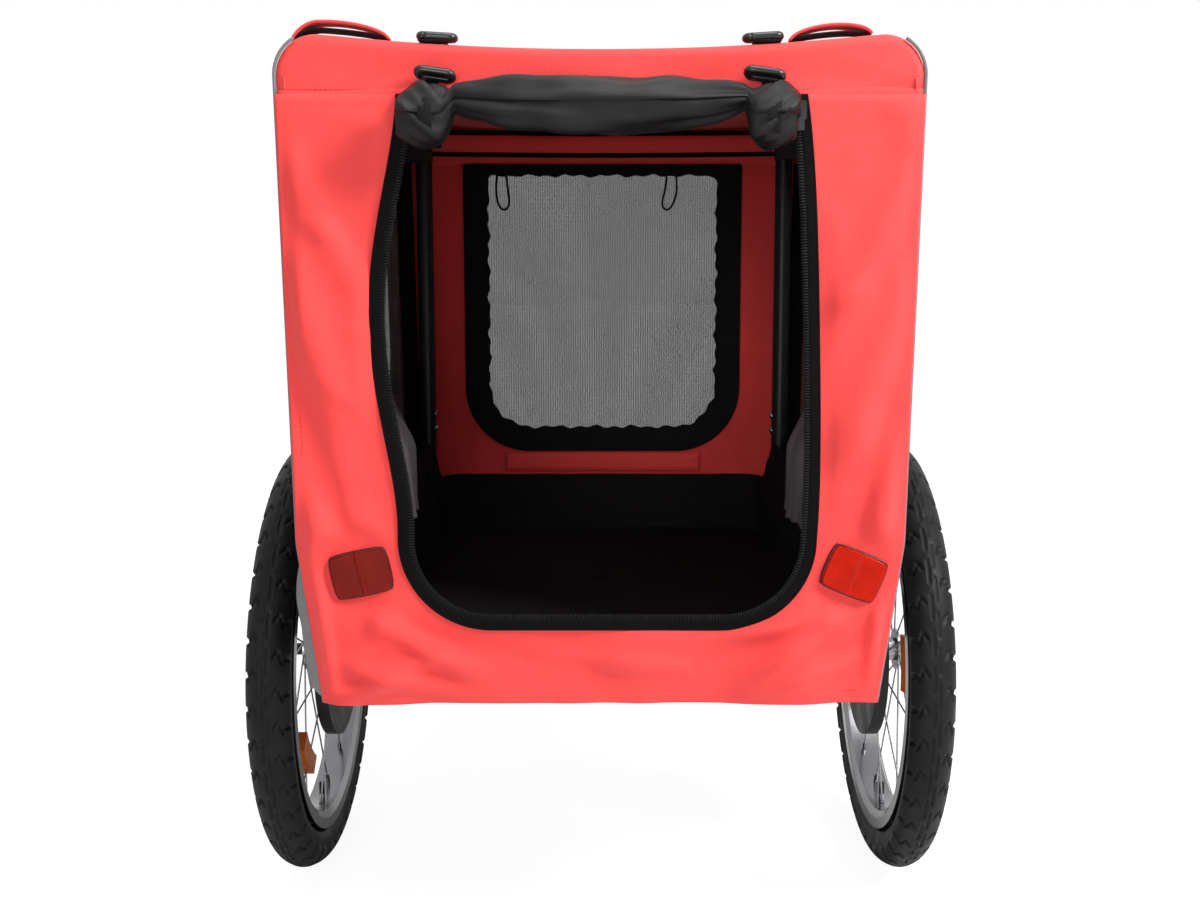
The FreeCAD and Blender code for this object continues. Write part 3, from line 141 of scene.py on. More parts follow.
class Bench:
    """A material's node tree, with short calls to add and join its nodes."""

    def __init__(self, name: str) -> None:
        """Start a material with its shader.

        Args:
            name: Name of the material.
        """
        self.material = bpy.data.materials.new(name)
        self.material.use_nodes = True
        self.tree = self.material.node_tree
        self.shader = self.tree.nodes["Principled BSDF"]

    def add(self, kind: str, **settings: object) -> bpy.types.Node:
        """Add a node and set its plain properties.

        Args:
            kind: Blender's node type.
            settings: Property names and values.

        Returns:
            The new node.
        """
        node = self.tree.nodes.new(kind)
        for key, value in settings.items():
            setattr(node, key, value)
        return node

    def join(self, output: Socket, socket: Socket) -> None:
        """Link an output to an input."""
        self.tree.links.new(output, socket)

    def coords(self, name: str, scale: tuple[float, float, float] = (1, 1, 1)) -> Socket:
        """Coordinates of one kind, scaled.

        Args:
            name: Output of the Texture Coordinate node.
            scale: Scale along each axis.

        Returns:
            The scaled vector.
        """
        source = self.add("ShaderNodeTexCoord")
        mapping = self.add("ShaderNodeMapping")
        mapping.inputs["Scale"].default_value = scale
        self.join(source.outputs[name], mapping.inputs["Vector"])
        return mapping.outputs["Vector"]

    def noise(self, vector: Socket, scale: float, detail: float = 3.0) -> Socket:
        """Cloudy noise from 0 to 1.

        Args:
            vector: Coordinates to read.
            scale: Clouds in a metre.
            detail: Octaves of finer clouds.

        Returns:
            The noise value.
        """
        node = self.add("ShaderNodeTexNoise")
        node.inputs["Scale"].default_value = scale
        node.inputs["Detail"].default_value = detail
        self.join(vector, node.inputs["Vector"])
        return node.outputs["Fac"]

    def bands(self, vector: Socket, pitch: float, direction: str) -> Socket:
        """Even bands, one every pitch metres.

        Args:
            vector: Coordinates to read.
            pitch: Distance from band to band.
            direction: X, Y or Z.

        Returns:
            A value that swings from 0 to 1 across each band.
        """
        node = self.add("ShaderNodeTexWave", bands_direction=direction)
        node.inputs["Scale"].default_value = math.pi / (10 * pitch)
        self.join(vector, node.inputs["Vector"])
        return node.outputs["Fac"]

    def math(self, operation: str, first: Socket, second: Socket | float) -> Socket:
        """One sum of two values.

        Args:
            operation: Blender's name of the sum.
            first: First value.
            second: Second value or a number.

        Returns:
            The result.
        """
        node = self.add("ShaderNodeMath", operation=operation)
        self.join(first, node.inputs[0])
        if isinstance(second, (int, float)):
            node.inputs[1].default_value = second
        else:
            self.join(second, node.inputs[1])
        return node.outputs[0]

    def spread(
        self, value: Socket, low: float, high: float, start: float = 0.0, stop: float = 1.0
    ) -> Socket:
        """Stretch a value onto another range.

        Args:
            value: Value to stretch.
            low: Result at start.
            high: Result at stop.
            start: Value that gives low.
            stop: Value that gives high.

        Returns:
            The stretched value.
        """
        node = self.add("ShaderNodeMapRange")
        self.join(value, node.inputs["Value"])
        for key, number in (("From Min", start), ("From Max", stop), ("To Min", low), ("To Max", high)):
            node.inputs[key].default_value = number
        return node.outputs["Result"]

    def tint(self, factor: Socket, first: Colour, second: Colour) -> Socket:
        """Colour between two, by a value.

        Args:
            factor: Share of the second colour.
            first: Colour at 0.
            second: Colour at 1.

        Returns:
            The mixed colour.
        """
        node = self.add("ShaderNodeMix", data_type="RGBA")
        self.join(factor, node.inputs[0])
        node.inputs[6].default_value = (*first, 1.0)
        node.inputs[7].default_value = (*second, 1.0)
        return node.outputs[2]

    def colour(self, shade: Socket) -> None:
        """Give the shader its colour."""
        self.join(shade, self.shader.inputs["Base Color"])

    def relief(self, height: Socket, depth: float) -> None:
        """Bump the shader's surface by a height value, depth metres deep.

        Args:
            height: Value that gives the height.
            depth: Depth of the relief.
        """
        node = self.add("ShaderNodeBump")
        node.inputs["Distance"].default_value = depth
        node.inputs["Strength"].default_value = 1.0
        self.join(height, node.inputs["Height"])
        self.join(node.outputs["Normal"], self.shader.inputs["Normal"])

    def set(self, **values: float) -> None:
        """Set plain numbers on the shader; an underscore stands for a space in the socket's name."""
        for key, value in values.items():
            self.shader.inputs[key.replace("_", " ")].default_value = value


def darker(colour: Colour, share: float) -> Colour:
    """The colour with each channel multiplied by share."""
    return tuple(channel * share for channel in colour)


@dataclass(frozen=True)
class Cloth:
    """Coated woven cloth: crossed threads, clouded dye and a soft sheen."""

    name: str
    colour: Colour
    pitch: float = 0.0011
    shade: float = 0.82
    rough: tuple[float, float] = (0.62, 0.82)
    sheen: float = 0.04
    shine: float = 0.3
    depth: float = 0.00018

    def make(self) -> Material:
        """Build the material.

        Returns:
            The cloth's material.
        """
        bench = Bench(self.name)
        thread = bench.coords("UV")
        place = bench.coords("Object")
        warp, weft = (bench.bands(thread, self.pitch, direction) for direction in "XY")
        weave = bench.math("MULTIPLY", warp, weft)
        cloud = bench.noise(place, 9.0, 4.0)
        fleck = bench.noise(place, 420.0, 2.0)
        clouded = bench.spread(cloud, 0.35, 1.0, 0.3, 0.7)
        dye = bench.math("MULTIPLY", clouded, bench.spread(fleck, 0.6, 1.0, 0.25, 0.75))
        bench.colour(bench.tint(dye, darker(self.colour, self.shade), self.colour))
        bench.join(bench.spread(fleck, *self.rough), bench.shader.inputs["Roughness"])
        bench.set(Sheen_Weight=self.sheen, Sheen_Roughness=0.45, Specular_IOR_Level=self.shine)
        crease = bench.spread(bench.noise(place, 38.0, 3.0), 0.0, 2.2)
        bench.relief(bench.math("ADD", weave, crease), self.depth)
        return bench.material


@dataclass(frozen=True)
class Net:
    """Knitted net: crossed threads with open holes between."""

    name: str
    colour: Colour
    pitch: float = 0.0014
    thread: float = 0.31
    rib: float = 0.0033

    def make(self) -> Material:
        """Build the material.

        Returns:
            The net's material, open between its threads.
        """
        bench = Bench(self.name)
        place = bench.coords("UV")
        across = bench.bands(place, self.pitch, "X")
        along = bench.bands(place, self.pitch * 0.8, "Y")
        yarn = bench.math("MAXIMUM", across, along)
        ribbed = bench.math("ADD", yarn, bench.spread(bench.bands(place, self.rib, "X"), -0.1, 0.1))
        solid = bench.spread(ribbed, 0.0, 1.0, self.thread - 0.05, self.thread + 0.05)
        cloud = bench.noise(bench.coords("Object"), 14.0, 3.0)
        bench.colour(bench.tint(cloud, darker(self.colour, 0.6), self.colour))
        bench.join(solid, bench.shader.inputs["Alpha"])
        bench.set(Roughness=0.7, Sheen_Weight=0.15)
        bench.relief(yarn, 0.0003)
        return bench.material


@dataclass(frozen=True)
class Moulded:
    """Moulded plastic or rubber with a fine grain and a little scuffing."""

    name: str
    colour: Colour
    rough: tuple[float, float] = (0.38, 0.6)
    grain: float = 900.0
    depth: float = 0.00006
    scuff: float = 1.5
    shine: float = 0.3

    def make(self) -> Material:
        """Build the material.

        Returns:
            The plastic's material.
        """
        bench = Bench(self.name)
        place = bench.coords("Object")
        wear = bench.noise(place, 34.0, 5.0)
        fine = bench.noise(place, self.grain, 2.0)
        scuffed = tuple(min(1.0, channel * self.scuff + 0.004) for channel in self.colour)
        bench.colour(bench.tint(bench.spread(wear, 0.0, 1.0, 0.52, 0.78), self.colour, scuffed))
        bench.join(bench.spread(wear, *self.rough, 0.3, 0.7), bench.shader.inputs["Roughness"])
        bench.set(Specular_IOR_Level=self.shine)
        bench.relief(fine, self.depth)
        return bench.material


@dataclass(frozen=True)
class Metal:
    """Drawn, plated or polished metal with faint streaks."""

    name: str
    colour: Colour
    rough: tuple[float, float] = (0.16, 0.34)
    streak: tuple[float, float, float] = (1.0, 1.0, 14.0)

    def make(self) -> Material:
        """Build the material.

        Returns:
            The metal's material.
        """
        bench = Bench(self.name)
        streaks = bench.noise(bench.coords("Object", self.streak), 120.0, 4.0)
        stain = bench.noise(bench.coords("Object"), 22.0, 4.0)
        bench.colour(bench.tint(stain, darker(self.colour, 0.72), self.colour))
        bench.join(bench.spread(streaks, *self.rough, 0.3, 0.7), bench.shader.inputs["Roughness"])
        bench.set(Metallic=1.0)
        bench.relief(streaks, 0.00003)
        return bench.material


@dataclass(frozen=True)
class Lens:
    """Reflector plastic: clear gloss over small prisms."""

    name: str
    colour: Colour
    deep: Colour
    pitch: float = 0.0022

    def make(self) -> Material:
        """Build the material.

        Returns:
            The lens material.
        """
        bench = Bench(self.name)
        place = bench.coords("Object")
        column, row = (bench.bands(place, self.pitch, direction) for direction in "XZ")
        prism = bench.math("MULTIPLY", column, row)
        cloud = bench.noise(place, 60.0, 3.0)
        glow = bench.math("MULTIPLY", bench.spread(prism, 0.35, 1.0), bench.spread(cloud, 0.4, 1.0, 0.3, 0.7))
        bench.colour(bench.tint(glow, self.deep, self.colour))
        bench.join(bench.spread(cloud, 0.08, 0.22), bench.shader.inputs["Roughness"])
        bench.set(Specular_IOR_Level=0.06, Coat_Weight=0.05, Coat_Roughness=0.06)
        bench.relief(prism, 0.00012)
        return bench.material


RED = (0.86, 0.046, 0.042)
INK = (0.008, 0.0078, 0.0085)


class Finishes:
    """Every material of the trailer, made once."""

    def __init__(self) -> None:
        """Make all the materials."""
        self.red = Cloth("red_oxford_cloth", RED, sheen=0.1, shine=0.5).make()
        self.black = Cloth("black_oxford_cloth", INK, shade=0.6, shine=0.1).make()
        self.nylon = Cloth(
            "rolled_nylon", (0.006, 0.0057, 0.0062), shade=0.5, rough=(0.26, 0.4), sheen=0.0, shine=0.24
        ).make()
        self.grey = Cloth("grey_oxford_cloth", (0.25, 0.24, 0.245), shade=0.8, shine=0.2).make()
        self.dark_grey = Cloth("gusset_cloth", (0.16, 0.14, 0.15), shade=0.7, shine=0.12).make()
        self.tub = Cloth(
            "tub_cloth", (0.013, 0.011, 0.012), shade=0.6, rough=(0.75, 0.92), sheen=0.0, shine=0.08
        ).make()
        self.tape = Cloth(
            "zip_tape", (0.0045, 0.004, 0.0044), pitch=0.0016, shade=0.55, sheen=0.01, shine=0.04
        ).make()
        self.webbing = Cloth("strap_webbing", INK, pitch=0.0022, shade=0.5, shine=0.12, depth=0.0004).make()
        self.piping = Cloth("reflective_piping", (0.17, 0.17, 0.18), rough=(0.4, 0.55), shine=0.2).make()
        self.thread = Cloth("sewing_thread", (0.66, 0.04, 0.036), pitch=0.0005, shade=0.7).make()
        self.net = Net("front_net", (0.02, 0.02, 0.022)).make()
        self.side_net = Net("side_net", (0.012, 0.012, 0.013), thread=0.22).make()
        self.plastic = Moulded("black_moulding", (0.011, 0.011, 0.012)).make()
        self.teeth = Moulded("zip_teeth", (0.005, 0.005, 0.0055), shine=0.12).make()
        self.buckle = Moulded("buckle_moulding", (0.008, 0.008, 0.009), rough=(0.2, 0.34), shine=0.45).make()
        self.board = Moulded("floor_board_skin", (0.02, 0.02, 0.02), rough=(0.6, 0.8)).make()
        self.coat = Moulded("powder_coat", (0.012, 0.012, 0.013), rough=(0.3, 0.5), grain=1400.0).make()
        self.rubber = Moulded(
            "black_rubber", (0.013, 0.013, 0.014), rough=(0.6, 0.8), depth=0.0001, shine=0.2
        ).make()
        self.tyre = Moulded(
            "tyre_rubber", (0.0062, 0.006, 0.0066), rough=(0.42, 0.62), grain=700.0, shine=0.15
        ).make()
        self.rim = Metal("polished_rim", (0.25, 0.25, 0.26), rough=(0.14, 0.26)).make()
        self.steel = Metal("plated_steel", (0.36, 0.36, 0.38)).make()
        self.chrome = Metal("bright_chrome", (0.74, 0.74, 0.76), rough=(0.06, 0.16)).make()
        # The two rear reflectors are one part in one red: the left takes a darker copy of it as painted
        # shade, the right a brighter copy as painted light.
        self.shaded_left_lens = Lens("left_rear_lens", (0.22, 0.010, 0.005), (0.10, 0.005, 0.003)).make()
        self.lens = Lens("right_rear_lens", (0.62, 0.012, 0.001), (0.26, 0.005, 0.001)).make()
        # Base under each reflector, a little larger than its lens: a real part, made dark so that its rim
        # stands in for the shadow round the reflector's edge.
        self.lens_base_and_edge_shadow = Moulded("lens_housing", (0.05, 0.003, 0.003), rough=(0.25, 0.4)).make()
        self.amber = Lens("amber_lens", (0.72, 0.17, 0.008), (0.4, 0.07, 0.004)).make()


class Shell:
    """Points and four-cornered faces gathered from surfaces that are worked out on grids."""

    def __init__(self) -> None:
        """Start with no faces."""
        self.points: list[np.ndarray] = []
        self.faces: list[np.ndarray] = []
        self.maps: list[np.ndarray] = []
        self.total = 0

    def add(self, points: np.ndarray, flip: bool = False) -> Shell:
        """Add one grid of points, or a stack of grids, with cloth lengths as its map.

        Args:
            points: Array of (rows, columns, 3), or (grids, rows, columns, 3).
            flip: Turn the faces round.

        Returns:
            This shell.
        """
        stack = points.reshape((-1,) + points.shape[-3:])
        grids, rows, columns = stack.shape[:3]
        index = np.arange(grids * rows * columns).reshape(grids, rows, columns) + self.total
        corners = (index[:, :-1, :-1], index[:, 1:, :-1], index[:, 1:, 1:], index[:, :-1, 1:])
        quads = np.stack(corners, -1).reshape(-1, 4)
        across = np.linalg.norm(np.diff(stack, axis=2), axis=-1).max(axis=(0, 1))
        along = np.linalg.norm(np.diff(stack, axis=1), axis=-1).max(axis=(0, 2))
        u = np.concatenate([[0.0], np.cumsum(across)])
        v = np.concatenate([[0.0], np.cumsum(along)])
        lengths = np.stack(np.broadcast_arrays(u[None, None, :], v[None, :, None]), -1)
        self.maps.append(np.broadcast_to(lengths, (grids, rows, columns, 2)).reshape(-1, 2))
        self.points.append(stack.reshape(-1, 3))
        self.faces.append(quads[:, ::-1] if flip else quads)
        self.total += grids * rows * columns
        return self

    def object(self, name: str, closed: bool = False, smooth: bool = True) -> Piece:
        """Make the mesh object, with points that meet welded.

        Args:
            name: Name of the piece.
            closed: Turn all faces outwards, for a closed form.
            smooth: Shade smoothly.

        Returns:
            The new object, at the origin.
        """
        quads = np.concatenate(self.faces)
        count = len(quads)
        mesh = bpy.data.meshes.new(name)
        mesh.vertices.add(self.total)
        mesh.vertices.foreach_set("co", (np.concatenate(self.points) + AXLE).astype(np.float32).ravel())
        mesh.loops.add(count * 4)
        mesh.loops.foreach_set("vertex_index", quads.astype(np.int32).ravel())
        mesh.polygons.add(count)
        mesh.polygons.foreach_set("loop_start", np.arange(count, dtype=np.int32) * 4)
        mesh.polygons.foreach_set("use_smooth", np.full(count, smooth))
        mesh.update(calc_edges=True)
        layer = mesh.uv_layers.new(name="cloth")
        layer.data.foreach_set("uv", np.concatenate(self.maps)[quads.ravel()].astype(np.float32).ravel())
        work = bmesh.new()
        work.from_mesh(mesh)
        bmesh.ops.remove_doubles(work, verts=work.verts, dist=WELD)
        bmesh.ops.dissolve_degenerate(work, edges=work.edges, dist=WELD)
        if closed:
            bmesh.ops.recalc_face_normals(work, faces=work.faces)
        work.to_mesh(mesh)
        work.free()
        piece = bpy.data.objects.new(name, mesh)
        bpy.context.scene.collection.objects.link(piece)
        return piece


def thicken(piece: Piece, thickness: float, offset: float = -1.0) -> Piece:
    """Give a sheet its thickness with a modifier.

    Args:
        piece: The sheet.
        thickness: Thickness of the cloth.
        offset: Side of the sheet that it grows to, -1 against its normals.

    Returns:
        The same piece.
    """
    modifier = piece.modifiers.new("thickness", "SOLIDIFY")
    modifier.thickness = thickness
    modifier.offset = offset
    return piece


def sink(piece: Piece) -> None:
    """Bake the piece's place into its mesh; nothing ties it to the roof frame's drop.

    Args:
        piece: Piece with its final mesh.
    """
    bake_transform(piece)


def dress(
    piece: Piece,
    body: Body,
    material: Material,
    stands_for: tuple[str, ...] = (),
    folds: bool = False,
    share: float | None = None,
) -> Piece:
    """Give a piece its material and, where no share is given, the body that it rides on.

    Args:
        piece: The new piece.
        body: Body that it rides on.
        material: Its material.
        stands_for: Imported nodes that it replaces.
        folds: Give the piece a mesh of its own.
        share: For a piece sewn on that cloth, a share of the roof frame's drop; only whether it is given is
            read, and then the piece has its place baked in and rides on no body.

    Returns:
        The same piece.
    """
    piece.data.materials.append(material)
    if share is None:
        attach(piece, body.value)
    else:
        sink(piece)
    if stands_for:
        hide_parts(*stands_for)
    if folds:
        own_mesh(piece)
    LOG.info("%s on %s", piece.name, body.value)
    return piece


def paint(material: Material, *nodes: str) -> None:
    """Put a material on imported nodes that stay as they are."""
    for name in nodes:
        slots = frame["nodes"][name].data.materials
        slots.clear()
        slots.append(material)
        LOG.info("%s painted %s", name, material.name)


def unit(vectors: np.ndarray) -> np.ndarray:
    """Vectors of length one."""
    return vectors / np.maximum(np.linalg.norm(vectors, axis=-1, keepdims=True), 1e-12)


def step(value: np.ndarray, low: float, high: float) -> np.ndarray:
    """Smooth rise from 0 at low to 1 at high."""
    t = np.clip((value - low) / (high - low), 0, 1)
    return t * t * (3 - 2 * t)


def resample(path: np.ndarray, pitch: float) -> np.ndarray:
    """Points along a line at about an even distance.

    Args:
        path: Corners of the line, (n, 3).
        pitch: Distance wanted.

    Returns:
        Points along the line.
    """
    run = np.concatenate([[0.0], np.cumsum(np.linalg.norm(np.diff(path, axis=0), axis=1))])
    places = np.linspace(0, run[-1], max(2, int(round(run[-1] / pitch)) + 1))
    return np.stack([np.interp(places, run, path[:, k]) for k in range(3)], -1)


def spots(x: np.ndarray | float, y: np.ndarray | float, z: np.ndarray | float) -> np.ndarray:
    """Points from their three coordinates, each an array or one number for all."""
    return np.stack(np.broadcast_arrays(x, y, z), -1)


def capped(path: np.ndarray, up: np.ndarray, profile: np.ndarray) -> np.ndarray:
    """Carry a closed profile along a path and draw it together at both ends.

    Each ring is the profile set square to the path.

    Args:
        path: Middle line, (n, 3).
        up: Direction of the profile's second axis.
        profile: Ring of (k, 2), its first point repeated at the end.

    Returns:
        Grid of (n + 2, k, 3).
    """
    along = unit(np.gradient(path, axis=0))
    side = unit(np.cross(along, np.broadcast_to(up, path.shape)))
    rise = np.cross(side, along)
    ring = profile[None, :, :1] * side[:, None, :] + profile[None, :, 1:] * rise[:, None, :]
    grid = path[:, None, :] + ring
    first, last = (np.broadcast_to(end, grid[:1].shape) for end in (path[0], path[-1]))
    return np.concatenate([first, grid, last])


def round_profile(radius: float, sides: int = 12) -> np.ndarray:
    """Circle of that radius as a closed ring."""
    angle = np.linspace(0, 2 * np.pi, sides + 1)
    return radius * np.stack([np.cos(angle), np.sin(angle)], -1)


def flat_profile(width: float, thickness: float) -> np.ndarray:
    """Flat band with rounded edges as a closed ring: a circle drawn out sideways.

    Args:
        width: Width of the band.
        thickness: Its thickness.

    Returns:
        Ring of (17, 2).
    """
    angle = np.linspace(0, 2 * np.pi, 17)
    reach = width / 2 - thickness / 2
    across = np.sign(np.round(np.cos(angle), 6)) * reach + thickness / 2 * np.cos(angle)
    return np.stack([across, thickness / 2 * np.sin(angle)], -1)


def ripple(points: np.ndarray, seed: int, size: float, height: float) -> np.ndarray:
    """Slack in cloth: twice the mean of ten plane waves with seeded directions and phases.

    Args:
        points: Places, (..., 3).
        seed: Seed of the draws.
        size: Wave length.
        height: About the largest rise.

    Returns:
        Rise at each place.
    """
    draw = np.random.default_rng(seed)
    waves = unit(draw.normal(size=(10, 3))) * (2 * np.pi / size) * draw.uniform(0.7, 1.5, (10, 1))
    phase = draw.uniform(0, 2 * np.pi, 10)
    return height * np.sin(points @ waves.T + phase).mean(-1) * 2


def fold(points: np.ndarray, start: tuple, end: tuple, width: float, height: float) -> np.ndarray:
    """One soft crease: a bell-shaped ridge round a line, fading towards both ends.

    Args:
        points: Places, (..., 3).
        start: One end of the crease.
        end: Other end.
        width: Half width.
        height: Rise, or a dip where it is negative.

    Returns:
        Rise at each place.
    """
    a, b = np.asarray(start, float), np.asarray(end, float)
    t = np.clip((points - a) @ (b - a) / ((b - a) @ (b - a)), 0, 1)
    away = np.linalg.norm(points - (a + t[..., None] * (b - a)), axis=-1)
    return height * np.exp(-((away / width) ** 2)) * np.sqrt(np.sin(np.pi * np.clip(t, 0.02, 0.98)))


def spindles(
    middle: np.ndarray,
    axis: np.ndarray,
    side: np.ndarray,
    out: np.ndarray,
    reach: np.ndarray,
    radius: float,
    sides: int,
) -> np.ndarray:
    """Short spindles at many places: each is a ring drawn together at both ends.

    Args:
        middle: Places, (n, 3).
        axis: Direction of each spindle's length, (n, 3).
        side: First direction of each ring, (n, 3).
        out: Second direction of all the rings.
        reach: Four places along the axis: both ends, and both rings between them.
        radius: Radius of the rings.
        sides: Sides of a ring.

    Returns:
        Stack of grids, (n, 4, sides + 1, 3).
    """
    girth = np.array([0.0, 1.0, 1.0, 0.0]) * radius
    angle = np.linspace(0, 2 * np.pi, sides + 1)
    ring = np.cos(angle)[:, None] * side[:, None, None, :] + np.sin(angle)[:, None] * out
    spine = middle[:, None, None, :] + reach[:, None, None] * axis[:, None, None, :]
    return spine + ring * girth[:, None, None]


def stitches(shell: Shell, path: np.ndarray, out: np.ndarray) -> None:
    """Row of stitches: short four-sided spindles laid along a line.

    Args:
        shell: Shell that takes them.
        path: Line of the seam, (n, 3).
        out: Direction away from the cloth.
    """
    pitch, length, radius = 0.0045, 0.003, 0.00055
    line = resample(path, pitch)
    along = unit(np.diff(line, axis=0))
    side = unit(np.cross(along, out))
    reach = np.array([-0.5, -0.25, 0.25, 0.5]) * length
    shell.add(spindles((line[:-1] + line[1:]) / 2, along, side, out, reach, radius, 4))


def rounded_loop(
    x0: float,
    x1: float,
    z0: float,
    z1: float,
    radius: float,
    upper: float | None = None,
    straight: int = 30,
    turn: int = 12,
) -> np.ndarray:
    """Closed rounded rectangle with the same count of points on each side and corner.

    Args:
        x0: Left edge.
        x1: Right edge.
        z0: Lower edge.
        z1: Upper edge.
        radius: Radius of the lower corners.
        upper: Radius of the upper corners, the same where it isn't given.
        straight: Points on a side.
        turn: Points on a corner.

    Returns:
        Points (n, 2), from the lower left, with the first repeated.
    """
    top = radius if upper is None else upper
    corners = (
        (x1 - radius, z0 + radius, radius),
        (x1 - top, z1 - top, top),
        (x0 + top, z1 - top, top),
        (x0 + radius, z0 + radius, radius),
    )
    parts = []
    last = np.array([x0 + radius, z0])
    for k, (x, z, size) in enumerate(corners):
        angle = np.linspace(-np.pi / 2, 0, turn) + k * np.pi / 2
        corner = np.array([x, z]) + size * np.stack([np.cos(angle), np.sin(angle)], -1)
        parts.append(np.linspace(last, corner[0], straight, endpoint=False))
        parts.append(corner)
        last = corner[-1]
    loop = np.concatenate(parts)
    return np.concatenate([loop, loop[:1]])


def between(inner: np.ndarray, outer: np.ndarray, count: int) -> np.ndarray:
    """Grid of straight rulings from one line to another with as many points."""
    share = np.linspace(0, 1, count)[:, None, None]
    return inner + (outer - inner) * share


@dataclass
class Cover:
    """Fabric cover: roof, four walls, piping and seams."""

    half_l: float = 0.330
    hem_z: float = 0.292
    hem_half: float = 0.262
    waist_z: float = 0.445
    waist_half: float = 0.283
    shoulder: float = 0.291
    top_z: float = 0.907
    sag: float = 0.013
    corner: float = 0.037
    seam_z: float = 0.853
    cloth: float = 0.0016
    edge: float = 0.009
    window_half_l: float = 0.250
    window_low: float = 0.545
    window_top: float = 0.825
    window_corner: float = 0.060
    front_half: float = 0.164
    front_low: float = 0.478
    front_top: float = 0.838
    front_corner: float = 0.020
    brow_z: tuple[float, float] = (0.868, 0.892)
    door_corner: float = 0.072
    door_sill: float = 0.377
    door_waist_z: float = 0.653
    door_head: tuple[float, float] = (0.0015, 0.1695)
    door_waist: tuple[float, float] = (-0.0055, 0.191)
    door_foot: tuple[float, float] = (0.0065, 0.1805)
    wall_foot: float = 0.40
    crease_lift: float = 2.2
    hollow: float = 0.4
    side_reach: float = 0.328
    axle_swell: tuple[float, float] = (0.030, 0.006)
    piping_radius: float = 0.0016
    seam_lip: tuple[float, float] = (0.009, 0.0022)
    fold_z: float = 0.9

    def side_x(self, z: np.ndarray) -> np.ndarray:
        """Half width of the cover at a height."""
        heights = [self.hem_z, self.waist_z, self.top_z - self.corner]
        return np.interp(z, heights, [self.hem_half, self.waist_half, self.shoulder])

    def roof_z(self, x: np.ndarray) -> np.ndarray:
        """Height of the sagging roof: a shallow arc that is lowest in the middle.

        Args:
            x: Places across the roof.

        Returns:
            Heights.
        """
        half = self.shoulder - self.corner
        radius = (half * half + self.sag * self.sag) / (2 * self.sag)
        return self.top_z - self.sag + radius - np.sqrt(radius * radius - np.minimum(np.abs(x), half) ** 2)

    def arch(self) -> tuple[np.ndarray, np.ndarray]:
        """Outline from the left seam over the roof to the right seam, and its outward normals.

        Returns:
            Points and normals, each (n, 2).
        """
        turn_x = self.shoulder - self.corner
        turn_z = self.top_z - self.corner
        rise = np.linspace(self.seam_z, turn_z, 6, endpoint=False)
        angle = np.linspace(np.pi, np.pi / 2, 18, endpoint=False)
        roof = np.linspace(-turn_x, 0, 60)
        side = np.stack([-self.side_x(rise), rise], -1)
        bent = np.stack([np.cos(angle), np.sin(angle)], -1)
        bend = np.array([-turn_x, turn_z]) + self.corner * bent
        top = np.stack([roof, self.roof_z(roof)], -1)
        left = np.concatenate([side, bend, top])
        normal = np.concatenate([np.tile([-1.0, 0.0], (6, 1)), bent, np.tile([0.0, 1.0], (60, 1))])
        mirror = np.array([-1.0, 1.0])
        outline, out = (np.concatenate([half, half[-2::-1] * mirror]) for half in (left, normal))
        return outline, out

    def roof(self) -> Shell:
        """Roof and brows: the arch carried along, turned over a soft edge and drawn down to the seams.

        Returns:
            The roof's shell.
        """
        outline, normal = self.arch()
        turn = np.linspace(np.pi / 2, 0, 8)
        reach = self.half_l - self.edge
        level = np.linspace(-1, 1, 70)[1:-1] * reach
        bow, lip = self.edge * (1 - np.cos(turn)), self.edge * np.sin(turn)
        depth = np.concatenate([bow, np.zeros(len(level)), bow[::-1]])
        y = np.concatenate([-reach - lip, level, reach + lip[::-1]])
        flat = outline[None] - normal[None] * depth[:, None, None]
        grid = spots(flat[..., 0], y[:, None], flat[..., 1])
        rises = np.linspace(0, 1, 16, endpoint=False), np.linspace(1, 0, 17)[1:]
        brow = []
        for row, share in zip((grid[0], grid[-1]), rises):
            z = self.seam_z + (row[:, 2] - self.seam_z) * share[:, None]
            brow.append(spots(row[:, 0], row[:, 1], z))
        points = np.concatenate([brow[0], grid, brow[1]])
        return Shell().add(self.slacken_roof(points), flip=True)

    def slacken_roof(self, points: np.ndarray) -> np.ndarray:
        """Sag the roof between its bars, crease it at its corners and make its brows waver.

        Args:
            points: Grid of the tight roof, (rows, columns, 3).

        Returns:
            The slack grid.
        """
        x, y, z = np.moveaxis(points, -1, 0)
        middle = np.clip(1 - (x / 0.25) ** 2, 0, 1) * np.clip(1 - (y / self.half_l) ** 2, 0, 1)
        upper = step(z, *self.brow_z)
        rise = ripple(points, 3, 0.16, 0.0022) * middle - 0.004 * middle
        corner_folds = ((0.27, 0.30, 0.10, 0.17, 0.014, 0.0026), (0.255, 0.322, 0.19, 0.09, 0.011, -0.0022))
        for side in (-1, 1):
            for end in (-1, 1):
                for x0, y0, x1, y1, width, height in corner_folds:
                    start, stop = (side * x0, end * y0, self.fold_z), (side * x1, end * y1, self.fold_z)
                    rise += fold(points, start, stop, width, height)
        out = points.copy()
        out[..., 2] += rise * upper
        brow = (1 - upper) * step(np.abs(y), 0.318, 0.329) * step(z, self.seam_z, self.brow_z[0])
        push = ripple(points, 5, 0.11, 0.0018) + 0.0015 * np.cos(x * 21)
        out[..., 1] += np.sign(y) * push * brow
        return out

